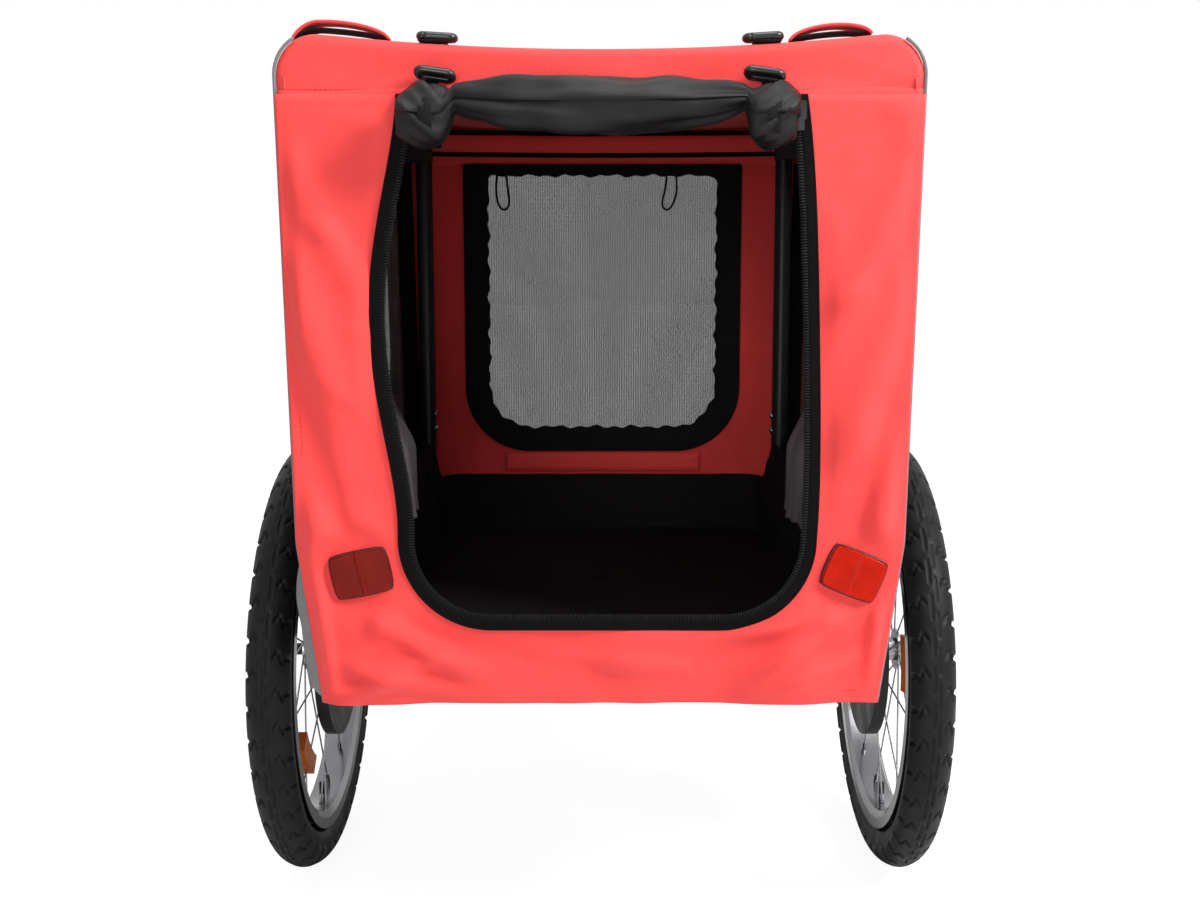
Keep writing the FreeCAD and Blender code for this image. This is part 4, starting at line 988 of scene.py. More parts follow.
    def door_line(self, grow: float) -> np.ndarray:
        """Edge of the door opening in X and Z: down from its left head, along the sill and up again.

        Args:
            grow: Distance outside the opening.

        Returns:
            Points along the edge, (n, 2).
        """
        radius = self.door_corner + grow
        sill = self.door_sill - grow
        angle = np.linspace(0, np.pi / 2, 24)
        halves = []
        for side in (-1, 1):
            places = (self.door_head, self.door_waist, self.door_foot)
            head, waist, foot = (middle + side * (half + grow) for middle, half in places)
            z = np.linspace(self.seam_z, sill + radius, 64, endpoint=False)
            knots_z = [sill + radius, 0.56, self.door_waist_z, 0.75, self.seam_z]
            below, above = (foot + waist) / 2 + side * 0.002, (head + waist) / 2 + side * 0.003
            knots_x = [foot, below, waist, above, head]
            x = np.polyval(np.polyfit(knots_z, knots_x, 4), z)
            bend_x = foot - side * radius * (1 - np.cos(angle))
            bend = np.stack([bend_x, sill + radius - radius * np.sin(angle)], -1)
            halves.append(np.concatenate([np.stack([x, z], -1), bend]))
        sill_line = np.linspace(halves[0][-1], halves[1][-1], 50)[1:-1]
        return np.concatenate([halves[0], sill_line, halves[1][::-1]])

    def wall_line(self) -> np.ndarray:
        """Outer edge of the rear wall with points that answer those of the door line.

        Returns:
            Points along the edge, (n, 2).
        """
        upper = np.linspace(self.seam_z, self.wall_foot, 64, endpoint=False)
        lower = np.linspace(self.wall_foot, self.hem_z, 12, endpoint=False)
        z = np.concatenate([upper, lower])
        hem = np.stack([np.linspace(-self.hem_half, -0.102, 12), np.full(12, self.hem_z)], -1)
        half = np.concatenate([np.stack([-self.side_x(z), z], -1), hem])
        right = half * np.array([-1.0, 1.0])
        base = np.linspace(half[-1], right[-1], 50)[1:-1]
        return np.concatenate([half, base, right[::-1]])

    def rear_creases(self, points: np.ndarray) -> np.ndarray:
        """Creases of the rear wall: large ones listed and fine ones drawn at random on both sides.

        Args:
            points: Places on the flat wall.

        Returns:
            Rise at each place.
        """
        back = -self.half_l
        rise = np.zeros(points.shape[:-1])
        for x0, z0, x1, z1, width, height in REAR_CREASES:
            rise += self.crease_lift * fold(points, (x0, back, z0), (x1, back, z1), width, height)
        draw = np.random.default_rng(17)
        for side in np.repeat((-1.0, 1.0), 12):
            x0, z0 = side * draw.uniform(0.20, 0.285), draw.uniform(0.34, 0.84)
            x1, z1 = x0 - side * draw.uniform(0.03, 0.08), z0 - draw.uniform(0.02, 0.06)
            width, height = draw.uniform(0.005, 0.009), draw.uniform(0.0016, 0.0034)
            rise += fold(points, (x0, back, z0), (x1, back, z1), width, height)
        return rise

    def rear_wall(self) -> Shell:
        """Rear wall: rulings from the door line out to the wall's edge, bowed and creased.

        The cloth lies still along its edges, round the reflectors and at the door's heads, and its
        hollows are shallower than its rises.

        Returns:
            The wall's shell.
        """
        flat = between(self.door_line(0.004), self.wall_line(), 44)
        points = spots(flat[..., 0], -self.half_l, flat[..., 1])
        x, _, z = np.moveaxis(points, -1, 0)
        share = np.linspace(0, 1, 44)[:, None]
        rise = ripple(points, 11, 0.16, 0.0085) + 0.003 * np.sin(np.pi * share)
        rise = rise + ripple(points, 12, 0.06, 0.0016)
        rise = rise + 0.004 * step(-z, -0.36, -self.hem_z) * (0.6 + 0.4 * np.cos(x * 26))
        rise = rise + self.rear_creases(points)
        rise = np.where(rise < 0, self.hollow * rise, rise)
        edge = np.minimum(self.side_x(z) - np.abs(x), self.seam_z - z)
        lens = np.minimum(*(np.hypot(x - place, z - LENS_Z) for place, _ in LENS_PLACES))
        loose = step(edge, 0.0, 0.02) * step(share, 0.02, 0.30) * step(lens, 0.03, 0.055)
        points[..., 1] -= rise * loose * step(np.abs(x) - z, -0.66, -0.58)
        return Shell().add(points)

    def front_wall(self) -> Shell:
        """Front wall: rulings from the window's edge out to the wall's edge.

        Returns:
            The wall's shell.
        """
        half = self.front_half
        inner = rounded_loop(-half, half, self.front_low, self.front_top, self.front_corner)
        outer = rounded_loop(-1, 1, self.hem_z, self.seam_z, 0.002)
        outer[:, 0] *= self.side_x(outer[:, 1])
        flat = between(inner, outer, 26)
        points = spots(flat[..., 0], self.half_l, flat[..., 1])
        share = np.linspace(0, 1, 26)[:, None]
        rise = ripple(points, 21, 0.12, 0.0026) + 0.002 * np.sin(np.pi * share)
        points[..., 1] += rise * np.sin(np.pi * share) ** 0.5
        return Shell().add(points)

    def side_wall(self, side: int) -> Shell:
        """Side wall: rulings from the window's edge to the wall's edge, swelling over the axle plate.

        Args:
            side: -1 for the left, 1 for the right.

        Returns:
            The wall's shell.
        """
        half = self.window_half_l
        inner = rounded_loop(-half, half, self.window_low, self.window_top, self.window_corner)
        outer = rounded_loop(-self.side_reach, self.side_reach, self.hem_z + 0.002, self.seam_z, 0.002)
        flat = between(inner, outer, 40)
        y, z = flat[..., 0], flat[..., 1]
        points = np.stack([side * self.side_x(z), y, z], -1)
        share = np.linspace(0, 1, 40)[:, None]
        rise = ripple(points, 31 + side, 0.14, 0.0024) * np.sin(np.pi * share) ** 0.5
        swell = self.axle_swell[side > 0]
        rise = rise + swell * np.exp(-(((y + 0.25) / 0.06) ** 2)) * step(-z, -0.47, -0.37)
        rise = rise + 0.006 * np.exp(-((y / 0.15) ** 2)) * step(-z, -0.52, -0.36)
        for start, end in ((-0.26, -0.12), (0.26, 0.12), (-0.05, -0.16), (0.07, 0.2)):
            rise = rise + fold(points, (side * 0.28, start, 0.52), (side * 0.27, end, 0.36), 0.013, 0.0035)
        points[..., 0] += side * rise * step(0.33 - np.abs(y), 0.002, 0.03)
        return Shell().add(points, flip=side < 0)

    def piping(self) -> Shell:
        """Reflective piping: a cord in the seam up each corner of the cover and over its shoulder.

        Returns:
            All four cords.
        """
        outline, _ = self.arch()
        z = np.linspace(self.hem_z, self.seam_z, 90)
        shell = Shell()
        for side in (-1, 1):
            rise = np.concatenate([np.stack([-self.side_x(z), z], -1), outline[1:19]])
            for end in (-1, 1):
                path = spots(rise[:, 0] * -side, end * (self.half_l - 0.001), rise[:, 1])
                shell.add(capped(path, AHEAD, round_profile(self.piping_radius, 10)))
        return shell

    def seams(self) -> Shell:
        """Stitching along the roof seams, the hem and the piping of both end walls.

        Returns:
            All the stitches.
        """
        shell = Shell()
        for end in (-1, 1):
            out = end * AHEAD
            y = end * (self.half_l + 0.0006)
            for z in (self.seam_z + 0.004, self.hem_z + 0.012):
                half = float(self.side_x(z)) - 0.008
                stitches(shell, np.array([[-half, y, z], [half, y, z]]), out)
            z = np.linspace(self.hem_z + 0.014, self.seam_z - 0.004, 40)
            for side in (-1, 1):
                x = side * (self.side_x(z) - 0.009)
                stitches(shell, spots(x, y, z), out)
        return shell

    def brow_tape(self) -> Shell:
        """Raised lip of the roof seam: a folded band of cloth across each end wall.

        Returns:
            Both lips.
        """
        shell = Shell()
        half = self.side_x(self.seam_z) - 0.003
        x = np.linspace(-half, half, 90)
        z = self.seam_z + 0.0016 * np.sin(x * 31)
        for end in (-1, 1):
            path = spots(x, end * (self.half_l + 0.0004), z)
            shell.add(capped(path, end * AHEAD, flat_profile(*self.seam_lip)))
        return shell

    def build(self, looks: Finishes) -> None:
        """Make and dress the cover's pieces.

        Args:
            looks: The trailer's materials.
        """
        roof = thicken(self.roof().object("roof_cloth"), self.cloth)
        dress(roof, Body.CHASSIS, looks.red, ("roof_panel",), True)
        rear = thicken(self.rear_wall().object("rear_wall_cloth"), self.cloth, 1.0)
        dress(rear, Body.CHASSIS, looks.red, ("rear_panel",), True)
        front = thicken(self.front_wall().object("front_wall_cloth"), self.cloth)
        dress(front, Body.CHASSIS, looks.red, ("front_panel",), True)
        for side, name in SIDES:
            wall = thicken(self.side_wall(side).object(name + "_side_cloth"), self.cloth)
            dress(wall, Body.CHASSIS, looks.grey, (name + "_side_panel",), True)
        piping = self.piping().object("corner_piping", closed=True)
        dress(piping, Body.CHASSIS, looks.piping, (), True)
        seams = self.seams().object("wall_stitching", closed=True)
        dress(seams, Body.CHASSIS, looks.thread, (), True)
        lips = self.brow_tape().object("roof_seam_lips", closed=True)
        dress(lips, Body.CHASSIS, looks.red, (), True)


@dataclass
class Windows:
    """Net windows, the front binding and its tie cords."""

    cover: Cover
    lap: float = 0.010
    front_lap: float = 0.003
    border: float = 0.030
    tie_places: tuple[float, float] = (-0.140, 0.096)
    tie_radius: float = 0.0015
    tie_leans: tuple[float, float] = (0.003, -0.006)
    window_tape: tuple[float, float] = (0.014, 0.0022)
    bar_half: float = 0.262
    bar_y: float = 0.3135
    bar_z: float = 0.8775
    bar_sag: float = 0.0025
    sleeve_half: tuple[float, float] = (0.0088, 0.0145)
    edge_tape: tuple[float, float] = (0.0065, 0.0016)
    edge_tape_half: float = 0.270
    edge_tape_y: float = 0.3075
    edge_tape_z: tuple[float, float] = (0.8625, 0.8915)
    lining_tape: tuple[float, float] = (0.022, 0.0014)
    lining_low: float = 0.40
    gusset_y: tuple[float, float] = (-0.262, 0.10)
    gusset_z: tuple[float, float] = (0.43, 0.572)
    gusset_swell: float = 0.062
    patch_half: tuple[float, float] = (0.139, 0.013)
    patch_z: float = 0.4325

    def front_net(self) -> Shell:
        """Front net: a flat grid with a little slack, sewn behind the opening.

        Returns:
            The net's shell.
        """
        half = self.cover.front_half + self.front_lap
        low, top = self.cover.front_low - self.front_lap, self.cover.front_top + self.front_lap
        x, z = np.meshgrid(np.linspace(-half, half, 60), np.linspace(low, top, 60))
        y = self.cover.half_l - 0.0026
        points = spots(x, y, z)
        slack = ripple(points, 41, 0.10, 0.0022) * np.cos(x / half * 1.5)
        slack = slack * np.sin((z - self.cover.front_low) / 0.36 * 3)
        points[..., 1] -= np.abs(slack) + fold(points, (-0.165, y, 0.715), (0.03, y, 0.668), 0.009, 0.005)
        return Shell().add(points)

    def side_net(self, side: int) -> Shell:
        """Side net: a grid that follows the side wall's lean.

        Args:
            side: -1 for the left, 1 for the right.

        Returns:
            The net's shell.
        """
        half = self.cover.window_half_l + self.lap
        low, top = self.cover.window_low - self.lap, self.cover.window_top + self.lap
        y, z = np.meshgrid(np.linspace(-half, half, 60), np.linspace(low, top, 44))
        points = spots(side * (self.cover.side_x(z) - 0.0026), y, z)
        points[..., 0] -= side * np.abs(ripple(points, 43 + side, 0.12, 0.003))
        return Shell().add(points, flip=side < 0)

    def binding(self) -> Shell:
        """Front binding: a wide band with a gathered inner edge that wavers.

        Returns:
            The binding's shell.
        """
        cover = self.cover
        low, top = cover.front_low + 0.005, cover.front_top - 0.004
        half, wide = cover.front_half - 0.005, cover.front_half + self.border
        inner = rounded_loop(-half, half, low, top, 0.058, 0.006, 60, 20)
        hem, seam = cover.front_low - self.border, cover.seam_z - 0.003
        outer = rounded_loop(-wide, wide, hem, seam, 0.090, 0.004, 60, 20)
        run = np.concatenate([[0.0], np.cumsum(np.linalg.norm(np.diff(inner, axis=0), axis=1))])
        lap = 2 * np.pi * run / run[-1]
        waver = 0.0016 * np.sin(52 * lap) + 0.0012 * np.sin(23 * lap + 1)
        middle = np.array([0.0, (cover.front_low + cover.front_top) / 2])
        inner = inner + unit(inner - middle) * waver[:, None]
        flat = between(inner, outer, 10)
        points = spots(flat[..., 0], cover.half_l - 0.0038, flat[..., 1])
        share = np.linspace(0, 1, 10)[:, None]
        points[..., 1] -= 0.0008 * np.sin(60 * lap)[None, :] * (1 - share) + 0.0012 * np.sin(np.pi * share)
        return Shell().add(points, flip=True)

    def tapes(self) -> Shell:
        """Black tape round each side window.

        Returns:
            Both tapes.
        """
        cover = self.cover
        shell = Shell()
        past = 0.004
        half = cover.window_half_l + past
        low, top = cover.window_low - past, cover.window_top + past
        loop = rounded_loop(-half, half, low, top, cover.window_corner)
        loop = loop[(np.diff(loop, axis=0, append=loop[1:2]) ** 2).sum(1) > 1e-14]
        loop = np.concatenate([loop, loop[:1]])
        for side in (-1, 1):
            path = spots(side * (cover.side_x(loop[:, 1]) + 0.0008), loop[:, 0], loop[:, 1])
            shell.add(capped(path, side * ASIDE, flat_profile(*self.window_tape)))
        return shell

    def sleeve(self) -> Shell:
        """Red sleeve round the front roof bar: a tall rounded ring carried along it with a little slack.

        Returns:
            The closed sleeve.
        """
        x = np.linspace(-self.bar_half, self.bar_half, 90)
        angle = np.linspace(0, 2 * np.pi, 29)
        rise = np.sign(np.sin(angle)) * np.abs(np.sin(angle)) ** 0.8
        ring = np.stack([np.cos(angle), rise], -1) * self.sleeve_half
        path = spots(x, self.bar_y, self.bar_z - self.bar_sag * np.cos(x * 6))
        grid = capped(path, UP, ring)
        grid[..., 2] += ripple(grid, 47, 0.09, 0.0008)
        return Shell().add(grid)

    def sleeve_tapes(self) -> Shell:
        """Black tapes along the upper and lower edge of the sleeve.

        Returns:
            Both tapes.
        """
        shell = Shell()
        x = np.linspace(-self.edge_tape_half, self.edge_tape_half, 70)
        for z in self.edge_tape_z:
            path = spots(x, self.edge_tape_y, z - self.bar_sag * np.cos(x * 6))
            shell.add(capped(path, -AHEAD, flat_profile(*self.edge_tape)))
        return shell

    def corner_tapes(self) -> Shell:
        """Black lining tape down both inner edges of the front wall.

        Returns:
            Both tapes.
        """
        shell = Shell()
        z = np.linspace(self.lining_low, self.cover.seam_z - 0.002, 60)
        for side in (-1, 1):
            x = side * (self.cover.side_x(z) - 0.014)
            path = spots(x, self.cover.half_l - 0.0045, z)
            shell.add(capped(path, -AHEAD, flat_profile(*self.lining_tape)))
        return shell

    def gusset(self, side: int) -> Shell:
        """Gathered gusset between a side wall and the tub: a sheet that swells inwards in upright folds.

        Args:
            side: -1 for the left, 1 for the right.

        Returns:
            The gusset's shell.
        """
        rear, front = self.gusset_y
        y, z = np.meshgrid(np.linspace(rear, front, 110), np.linspace(*self.gusset_z, 44))
        along = ((y - rear) / (front - rear)) ** 0.75
        bow = np.clip(np.sin(np.pi * along), 0, 1)
        bulge = bow ** 0.6 * (1 - 0.45 * step(z, 0.50, self.gusset_z[1]))
        folds = 0.005 * np.sin(along * 31 + 9 * z) * bow + 0.003 * np.sin(along * 67 + 40 * z)
        x = self.cover.side_x(z) - 0.006 - self.gusset_swell * bulge - np.abs(folds) * (0.3 + bulge)
        return Shell().add(spots(side * x, y, z), flip=side > 0)

    def patch(self) -> Shell:
        """Sewn patch on the inside of the front wall, a thin pillow with a stitched edge.

        Returns:
            The patch's shell.
        """
        wide, tall = self.patch_half
        x, v = np.meshgrid(np.linspace(-wide, wide, 70), np.linspace(-tall, tall, 14))
        edge = step(np.minimum(wide - np.abs(x), tall - np.abs(v)), 0.0, 0.006)
        points = spots(x, self.cover.half_l - 0.0032, self.patch_z + v)
        points[..., 1] -= 0.0022 * edge + ripple(points, 49, 0.04, 0.0006) * edge
        return Shell().add(points)

    def tie_line(self, x: float, lean: float) -> np.ndarray:
        """Middle line of one tie loop, read from a smooth spline through its route.

        Args:
            x: Place of the tie across the window.
            lean: Sideways swing of the loop's foot.

        Returns:
            Points along the loop, in the trailer's axes.
        """
        y = self.cover.half_l - 0.0072
        top = self.cover.front_top + self.lap
        route = (
            (-0.0050, 0.0), (-0.0062, -0.012), (-0.0085, -0.034), (-0.0085 + lean, -0.0545),
            (lean, -0.0625), (0.0085 + lean, -0.0545), (0.0085, -0.034), (0.0062, -0.012), (0.0050, 0.0),
        )
        curve = bpy.data.curves.new("tie_route", "CURVE")
        curve.dimensions = "3D"
        curve.resolution_u = 10
        spline = curve.splines.new("NURBS")
        spline.points.add(len(route) - 1)
        for point, (dx, dz) in zip(spline.points, route):
            point.co = (x + dx, y, top + dz, 1.0)
        spline.order_u = 3
        spline.use_endpoint_u = True
        holder = bpy.data.objects.new("tie_route", curve)
        mesh = bpy.data.meshes.new_from_object(holder)
        line = np.empty(len(mesh.vertices) * 3)
        mesh.vertices.foreach_get("co", line)
        bpy.data.objects.remove(holder)
        bpy.data.meshes.remove(mesh)
        bpy.data.curves.remove(curve)
        return line.reshape(-1, 3)

    def build(self, looks: Finishes) -> None:
        """Make and dress the nets, the binding, the tapes and the ties.

        Args:
            looks: The trailer's materials.
        """
        net = self.front_net().object("front_net")
        dress(net, Body.CHASSIS, looks.net, ("front_window",), True)
        for side, name in SIDES:
            net = self.side_net(side).object(name + "_net")
            dress(net, Body.CHASSIS, looks.side_net, ("side_windows",), True)
        binding = thicken(self.binding().object("front_net_binding"), 0.001)
        dress(binding, Body.CHASSIS, looks.black, ("front_window_border",), True)
        tapes = self.tapes().object("window_tapes", closed=True)
        dress(tapes, Body.CHASSIS, looks.tape, (), True)
        for side, name in SIDES:
            gusset = thicken(self.gusset(side).object(name + "_gusset"), 0.0012)
            dress(gusset, Body.CHASSIS, looks.dark_grey, (), True)
        lining = self.corner_tapes().object("front_corner_tapes", closed=True)
        dress(lining, Body.CHASSIS, looks.black, (), True)
        patch = thicken(self.patch().object("front_patch"), 0.001)
        dress(patch, Body.CHASSIS, looks.red, (), True)
        dress(self.sleeve().object("roof_bar_sleeve", closed=True), Body.ROOF, looks.red)
        dress(self.sleeve_tapes().object("sleeve_tapes", closed=True), Body.ROOF, looks.tape)
        for place, lean, name in zip(self.tie_places, self.tie_leans, ("left_tie_cord", "right_tie_cord")):
            line = self.tie_line(place, lean)
            tube = capped(line, AHEAD, round_profile(self.tie_radius, 8))
            cord = Shell().add(tube).object(name, closed=True)
            dress(cord, Body.CHASSIS, looks.webbing, ("window_ties",), True)


@dataclass
class Door:
    """Zip round the opening, and the door rolled up under the roof seam."""

    cover: Cover
    zip_width: float = 0.013
    roll_y: float = -0.3597
    roll_z: float = 0.832
    roll_half: float = 0.173
    roll_radius: float = 0.0265
    pinch: float = 0.0105
    pinch_x: float = 0.127
    knot: float = 0.0290
    neck_x: float = 0.150
    turns: float = 5.35
    tooth_pitch: float = 0.0026
    tooth_radius: float = 0.0009
    bound_edge: float = 0.0016
    strap_width: float = 0.012
    tab_width: float = 0.025
    tab_y: tuple[float, float] = (-0.327, -0.294)
    webbing: float = 0.0014
    loop_places: tuple[tuple[float, float], ...] = ((-0.233, 0.043), (0.207, 0.036))
    loop_y: float = -0.309
    loop_thickness: float = 0.0026
    buckle_half: tuple[float, float] = (0.0150, 0.0046)
    buckle_bar: float = 0.0165
    buckle_z: float = 0.869
    roof_buckle_y: float = -0.319

    def wall_path(self, grow: float, lift: float) -> np.ndarray:
        """Door line at a distance outside the opening, lifted off the wall."""
        flat = self.cover.door_line(grow)
        return spots(flat[:, 0], -self.cover.half_l - lift, flat[:, 1])

    def zip_tape(self) -> Shell:
        """Zip tape: rulings between two door lines, with a rolled outer edge.

        Returns:
            The tape's shell.
        """
        grid = between(self.wall_path(0.0, 0.0022), self.wall_path(self.zip_width, 0.0030), 8)
        share = np.linspace(0, 1, 8)[:, None]
        grid[..., 1] -= 0.0009 * np.sin(np.pi * share) ** 2
        return Shell().add(grid)

    def zip_chain(self) -> Shell:
        """Zip chain: one row of short moulded teeth along the tape's inner edge.

        Returns:
            All the teeth.
        """
        line = resample(self.wall_path(0.0015, 0.0034), self.tooth_pitch)
        along = unit(np.diff(line, axis=0))
        across = np.cross(along, -AHEAD)
        reach = np.array([-0.0030, -0.0026, 0.0026, 0.0030])
        middle = (line[:-1] + line[1:]) / 2
        return Shell().add(spindles(middle, across, along, -AHEAD, reach, self.tooth_radius, 6))

    def edge_cord(self) -> Shell:
        """Bound edge where the red wall meets the zip tape."""
        path = resample(self.wall_path(self.zip_width, 0.0028), 0.006)
        return Shell().add(capped(path, -AHEAD, round_profile(self.bound_edge, 8)))

    def rolled(self) -> Shell:
        """Rolled door: a spiral of cloth carried across the opening.

        The radius grows along the spiral. The roll is a spindle that is fat in the middle and thin at
        both pinches, and swells again into a knot of twisted folds inside each strap.

        Returns:
            The roll's shell.
        """
        x = np.linspace(-self.roll_half, self.roll_half, 190)[:, None]
        t = np.linspace(0, 1, 236)[None, :]
        away = np.abs(x)
        fat = np.clip(1 - (away / self.pinch_x) ** 2, 0, 1) ** 0.8
        spindle = self.pinch + (self.roll_radius - self.pinch) * fat
        knot = step(away, self.pinch_x - 0.001, self.pinch_x + 0.009)
        past = np.clip((away - self.pinch_x) / (self.roll_half - self.pinch_x), 0, 1)
        ball = np.sin(np.pi * (0.08 + 0.76 * past)) ** 0.45
        radius = spindle + (self.knot * ball - self.pinch) * knot
        middle = 0.839 + 0.006 * np.clip(away / self.pinch_x, 0, 1) ** 2 - 0.015 * knot
        turn = 2 * np.pi * self.turns * t + 0.9
        twist = x * 55 * np.sign(x)
        ridge = np.abs(np.sin(2.5 * turn + 1.6 * twist)) + 0.6 * np.abs(np.sin(4.5 * turn + 2.9 * twist + 1))
        folds = knot * (0.06 - 0.15 * ridge + 0.06 * np.sin(2 * turn - twist))
        fan = np.exp(-(((away - self.pinch_x) / 0.05) ** 2)) * (1 - knot)
        folds = folds + fan * (0.16 * np.sin(4 * turn + 9 * x) + 0.10 * np.sin(7 * turn - 16 * x))
        slack = sum(size * np.sin(waves * turn + lean * x + start) for size, waves, lean, start in ROLL_WAVES)
        rho = radius * (0.16 + 0.84 * t ** 0.85) * (1 + folds + slack * (1 - knot))
        wall = -self.cover.half_l - 0.0035
        y = self.roll_y + rho * np.cos(turn)
        z = middle + rho * np.sin(turn) * (1 + 0.06 * knot)
        across = x + 0.0035 * knot * np.sin(turn + 1)
        points = spots(across, np.minimum(y, wall), z)
        crease = ripple(points * np.array([0.45, 1.0, 1.0]), 71, 0.030, 0.0016)
        crease = crease + ripple(points, 73, 0.055, 0.0016)
        out = unit(points - spots(x, self.roll_y, middle))
        points = points + out * crease[..., None] * (AHEAD + UP)
        points[..., 1] = np.minimum(points[..., 1], wall)
        return Shell().add(points)

    def straps(self) -> Shell:
        """Roll straps: webbing that leaves the seam, goes round the roll's neck and back up to the buckle.

        Returns:
            Both straps, and their tabs on the roof.
        """
        shell = Shell()
        radius = self.knot * 0.80
        angle = np.linspace(math.radians(62), math.radians(62 + 318), 90)
        ring = np.stack([self.roll_y + radius * np.cos(angle), self.roll_z + radius * np.sin(angle)], -1)
        brow = -self.cover.half_l - 0.0022
        down = np.array([[brow, 0.874], [brow, 0.862]])
        back = np.array([[brow, 0.842], [brow - 0.001, 0.852]])
        route = np.concatenate([down, ring, back])
        for place in (-self.neck_x, self.neck_x):
            path = resample(spots(place, route[:, 0], route[:, 1]), 0.0025)
            shell.add(capped(path, ASIDE, flat_profile(self.strap_width, self.webbing)[:, ::-1]))
            roof = float(self.cover.roof_z(place)) + 0.0022
            tab = spots(place, np.linspace(*self.tab_y, 12), roof)
            shell.add(capped(tab, UP, flat_profile(self.tab_width, self.webbing)))
        return shell

    def buckles(self) -> Shell:
        """Ladder buckles: a moulded frame with a cross bar, on each strap at the seam and on the roof.

        Returns:
            All four buckles.
        """
        shell = Shell()
        wide, tall = self.buckle_half
        loop = rounded_loop(-wide, wide, -tall, tall, 0.004, None, 8, 6)
        loop = loop[np.concatenate([[True], (np.diff(loop, axis=0) ** 2).sum(1) > 1e-14])]
        bar = np.stack([np.linspace(-self.buckle_bar, self.buckle_bar, 10), np.zeros(10)], -1)
        for place, tilt in ((-self.neck_x + 0.004, -0.14), (self.neck_x - 0.004, -0.13)):
            roof = float(self.cover.roof_z(place)) + 0.0062
            for line in (loop, bar):
                u, v = line[:, 0], line[:, 1]
                y = -self.cover.half_l - 0.0085 - 0.8 * v
                brow = spots(place + u, y, self.buckle_z + 0.5 * v + tilt * u)
                lid = spots(place + u, self.roof_buckle_y + v, roof + 0.06 * np.sign(place) * u)
                profile = round_profile(0.0039 if line is loop else 0.0026, 10)
                shell.add(capped(brow, np.array([0.0, -0.5, 0.8]), profile))
                shell.add(capped(lid, UP, profile))
        return shell

    def loops(self, lift: float, width: float) -> Shell:
        """Grab loops: webbing arched over each rear corner of the roof.

        Args:
            lift: Height of the arch.
            width: Width of the webbing.

        Returns:
            Both loops.
        """
        shell = Shell()
        cover = self.cover
        share = np.linspace(-1, 1, 48)
        for place, half in self.loop_places:
            x = place + half * share
            past = np.clip(np.abs(x) - (cover.shoulder - cover.corner), 0, cover.corner)
            z = cover.roof_z(x) - cover.corner + np.sqrt(cover.corner ** 2 - past ** 2)
            z = z + 0.002 + lift * np.clip(1 - (share / 0.98) ** 2, 0, 1) ** 0.55
            path = spots(x, self.loop_y - 0.002 * np.cos(1.6 * share), z)
            shell.add(capped(path, UP, flat_profile(width, self.loop_thickness)))
        return shell

    def build(self, looks: Finishes) -> None:
        """Make and dress the zip, the roll, its straps, the buckles and the loops.

        Args:
            looks: The trailer's materials.
        """
        tape = thicken(self.zip_tape().object("zip_tape"), 0.001, 1.0)
        dress(tape, Body.CHASSIS, looks.tape, ("door_zip",), True)
        chain = self.zip_chain().object("zip_chain", closed=True)
        dress(chain, Body.CHASSIS, looks.teeth, (), True)
        cord = self.edge_cord().object("zip_edge_binding", closed=True)
        dress(cord, Body.CHASSIS, looks.tape, (), True)
        roll = thicken(self.rolled().object("rolled_door"), 0.0013, 0.0)
        dress(roll, Body.ROOF, looks.nylon, ("door_roll",), share=ROOF_SHARE)
        straps = self.straps().object("roll_webbing", closed=True)
        dress(straps, Body.ROOF, looks.webbing, ("roll_straps",), share=ROOF_SHARE)
        buckles = self.buckles().object("ladder_buckles", closed=True)
        dress(buckles, Body.ROOF, looks.buckle, ("strap_buckles",), share=ROOF_SHARE)
        loops = self.loops(0.0105, 0.024).object("grab_loops", closed=True)
        dress(loops, Body.ROOF, looks.red, ("roof_loops",), share=ROOF_SHARE)
        lining = self.loops(0.0036, 0.020).object("loop_anchors", closed=True)
        dress(lining, Body.ROOF, looks.webbing, share=ROOF_SHARE)
        paint(looks.buckle, "zip_sliders")


@dataclass
class Tub:
    """Cloth tub on the floor board."""

    half_w: float = 0.2255
    half_l: float = 0.3255
    floor: float = 0.3372
    front_top: float = 0.415
    rear_top: float = 0.368
    side_top: float = 0.478

    def shell(self) -> Shell:
        """Tub: rings that grow across the floor and climb the walls to an edge that humps at the sides.

        Returns:
            The tub's shell.
        """
        loop = rounded_loop(-self.half_w, self.half_w, -self.half_l, self.half_l, 0.03, None, 60, 10)
        x, y = loop[:, 0], loop[:, 1]
        ends = np.where(y > 0, self.front_top, self.rear_top)
        hump = step(0.30 - np.abs(y), 0.0, 0.14) * step(np.abs(x), 0.20, 0.222)
        top = ends + (self.side_top - ends) * hump
        grow = np.linspace(0.02, 1, 24)[:, None]
        ground = spots(x * grow, y * grow, self.floor)
        ground[..., 2] += np.abs(ripple(ground, 61, 0.09, 0.002)) * (1 - grow)
        climb = np.linspace(0, 1, 20)[1:, None]
        wall = spots(x, y, self.floor + (top - self.floor) * climb)
        inward = unit(spots(-np.sign(x) * (np.abs(x) > 0.215), -np.sign(y) * (np.abs(y) > 0.31), 0.0) + 1e-9)
        slack = np.abs(ripple(wall, 63, 0.07, 0.0035)) * np.sin(np.pi * climb * 0.75)
        wall = wall + inward * slack[..., None]
        return Shell().add(np.concatenate([ground, wall]), flip=True)

    def build(self, looks: Finishes) -> None:
        """Make and dress the tub.

        Args:
            looks: The trailer's materials.
        """
        tub = thicken(self.shell().object("floor_tub_cloth"), 0.0014, 0.0)
        dress(tub, Body.CHASSIS, looks.tub, ("floor_tub",))
        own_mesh(tub)
        paint(looks.board, "floor_board")


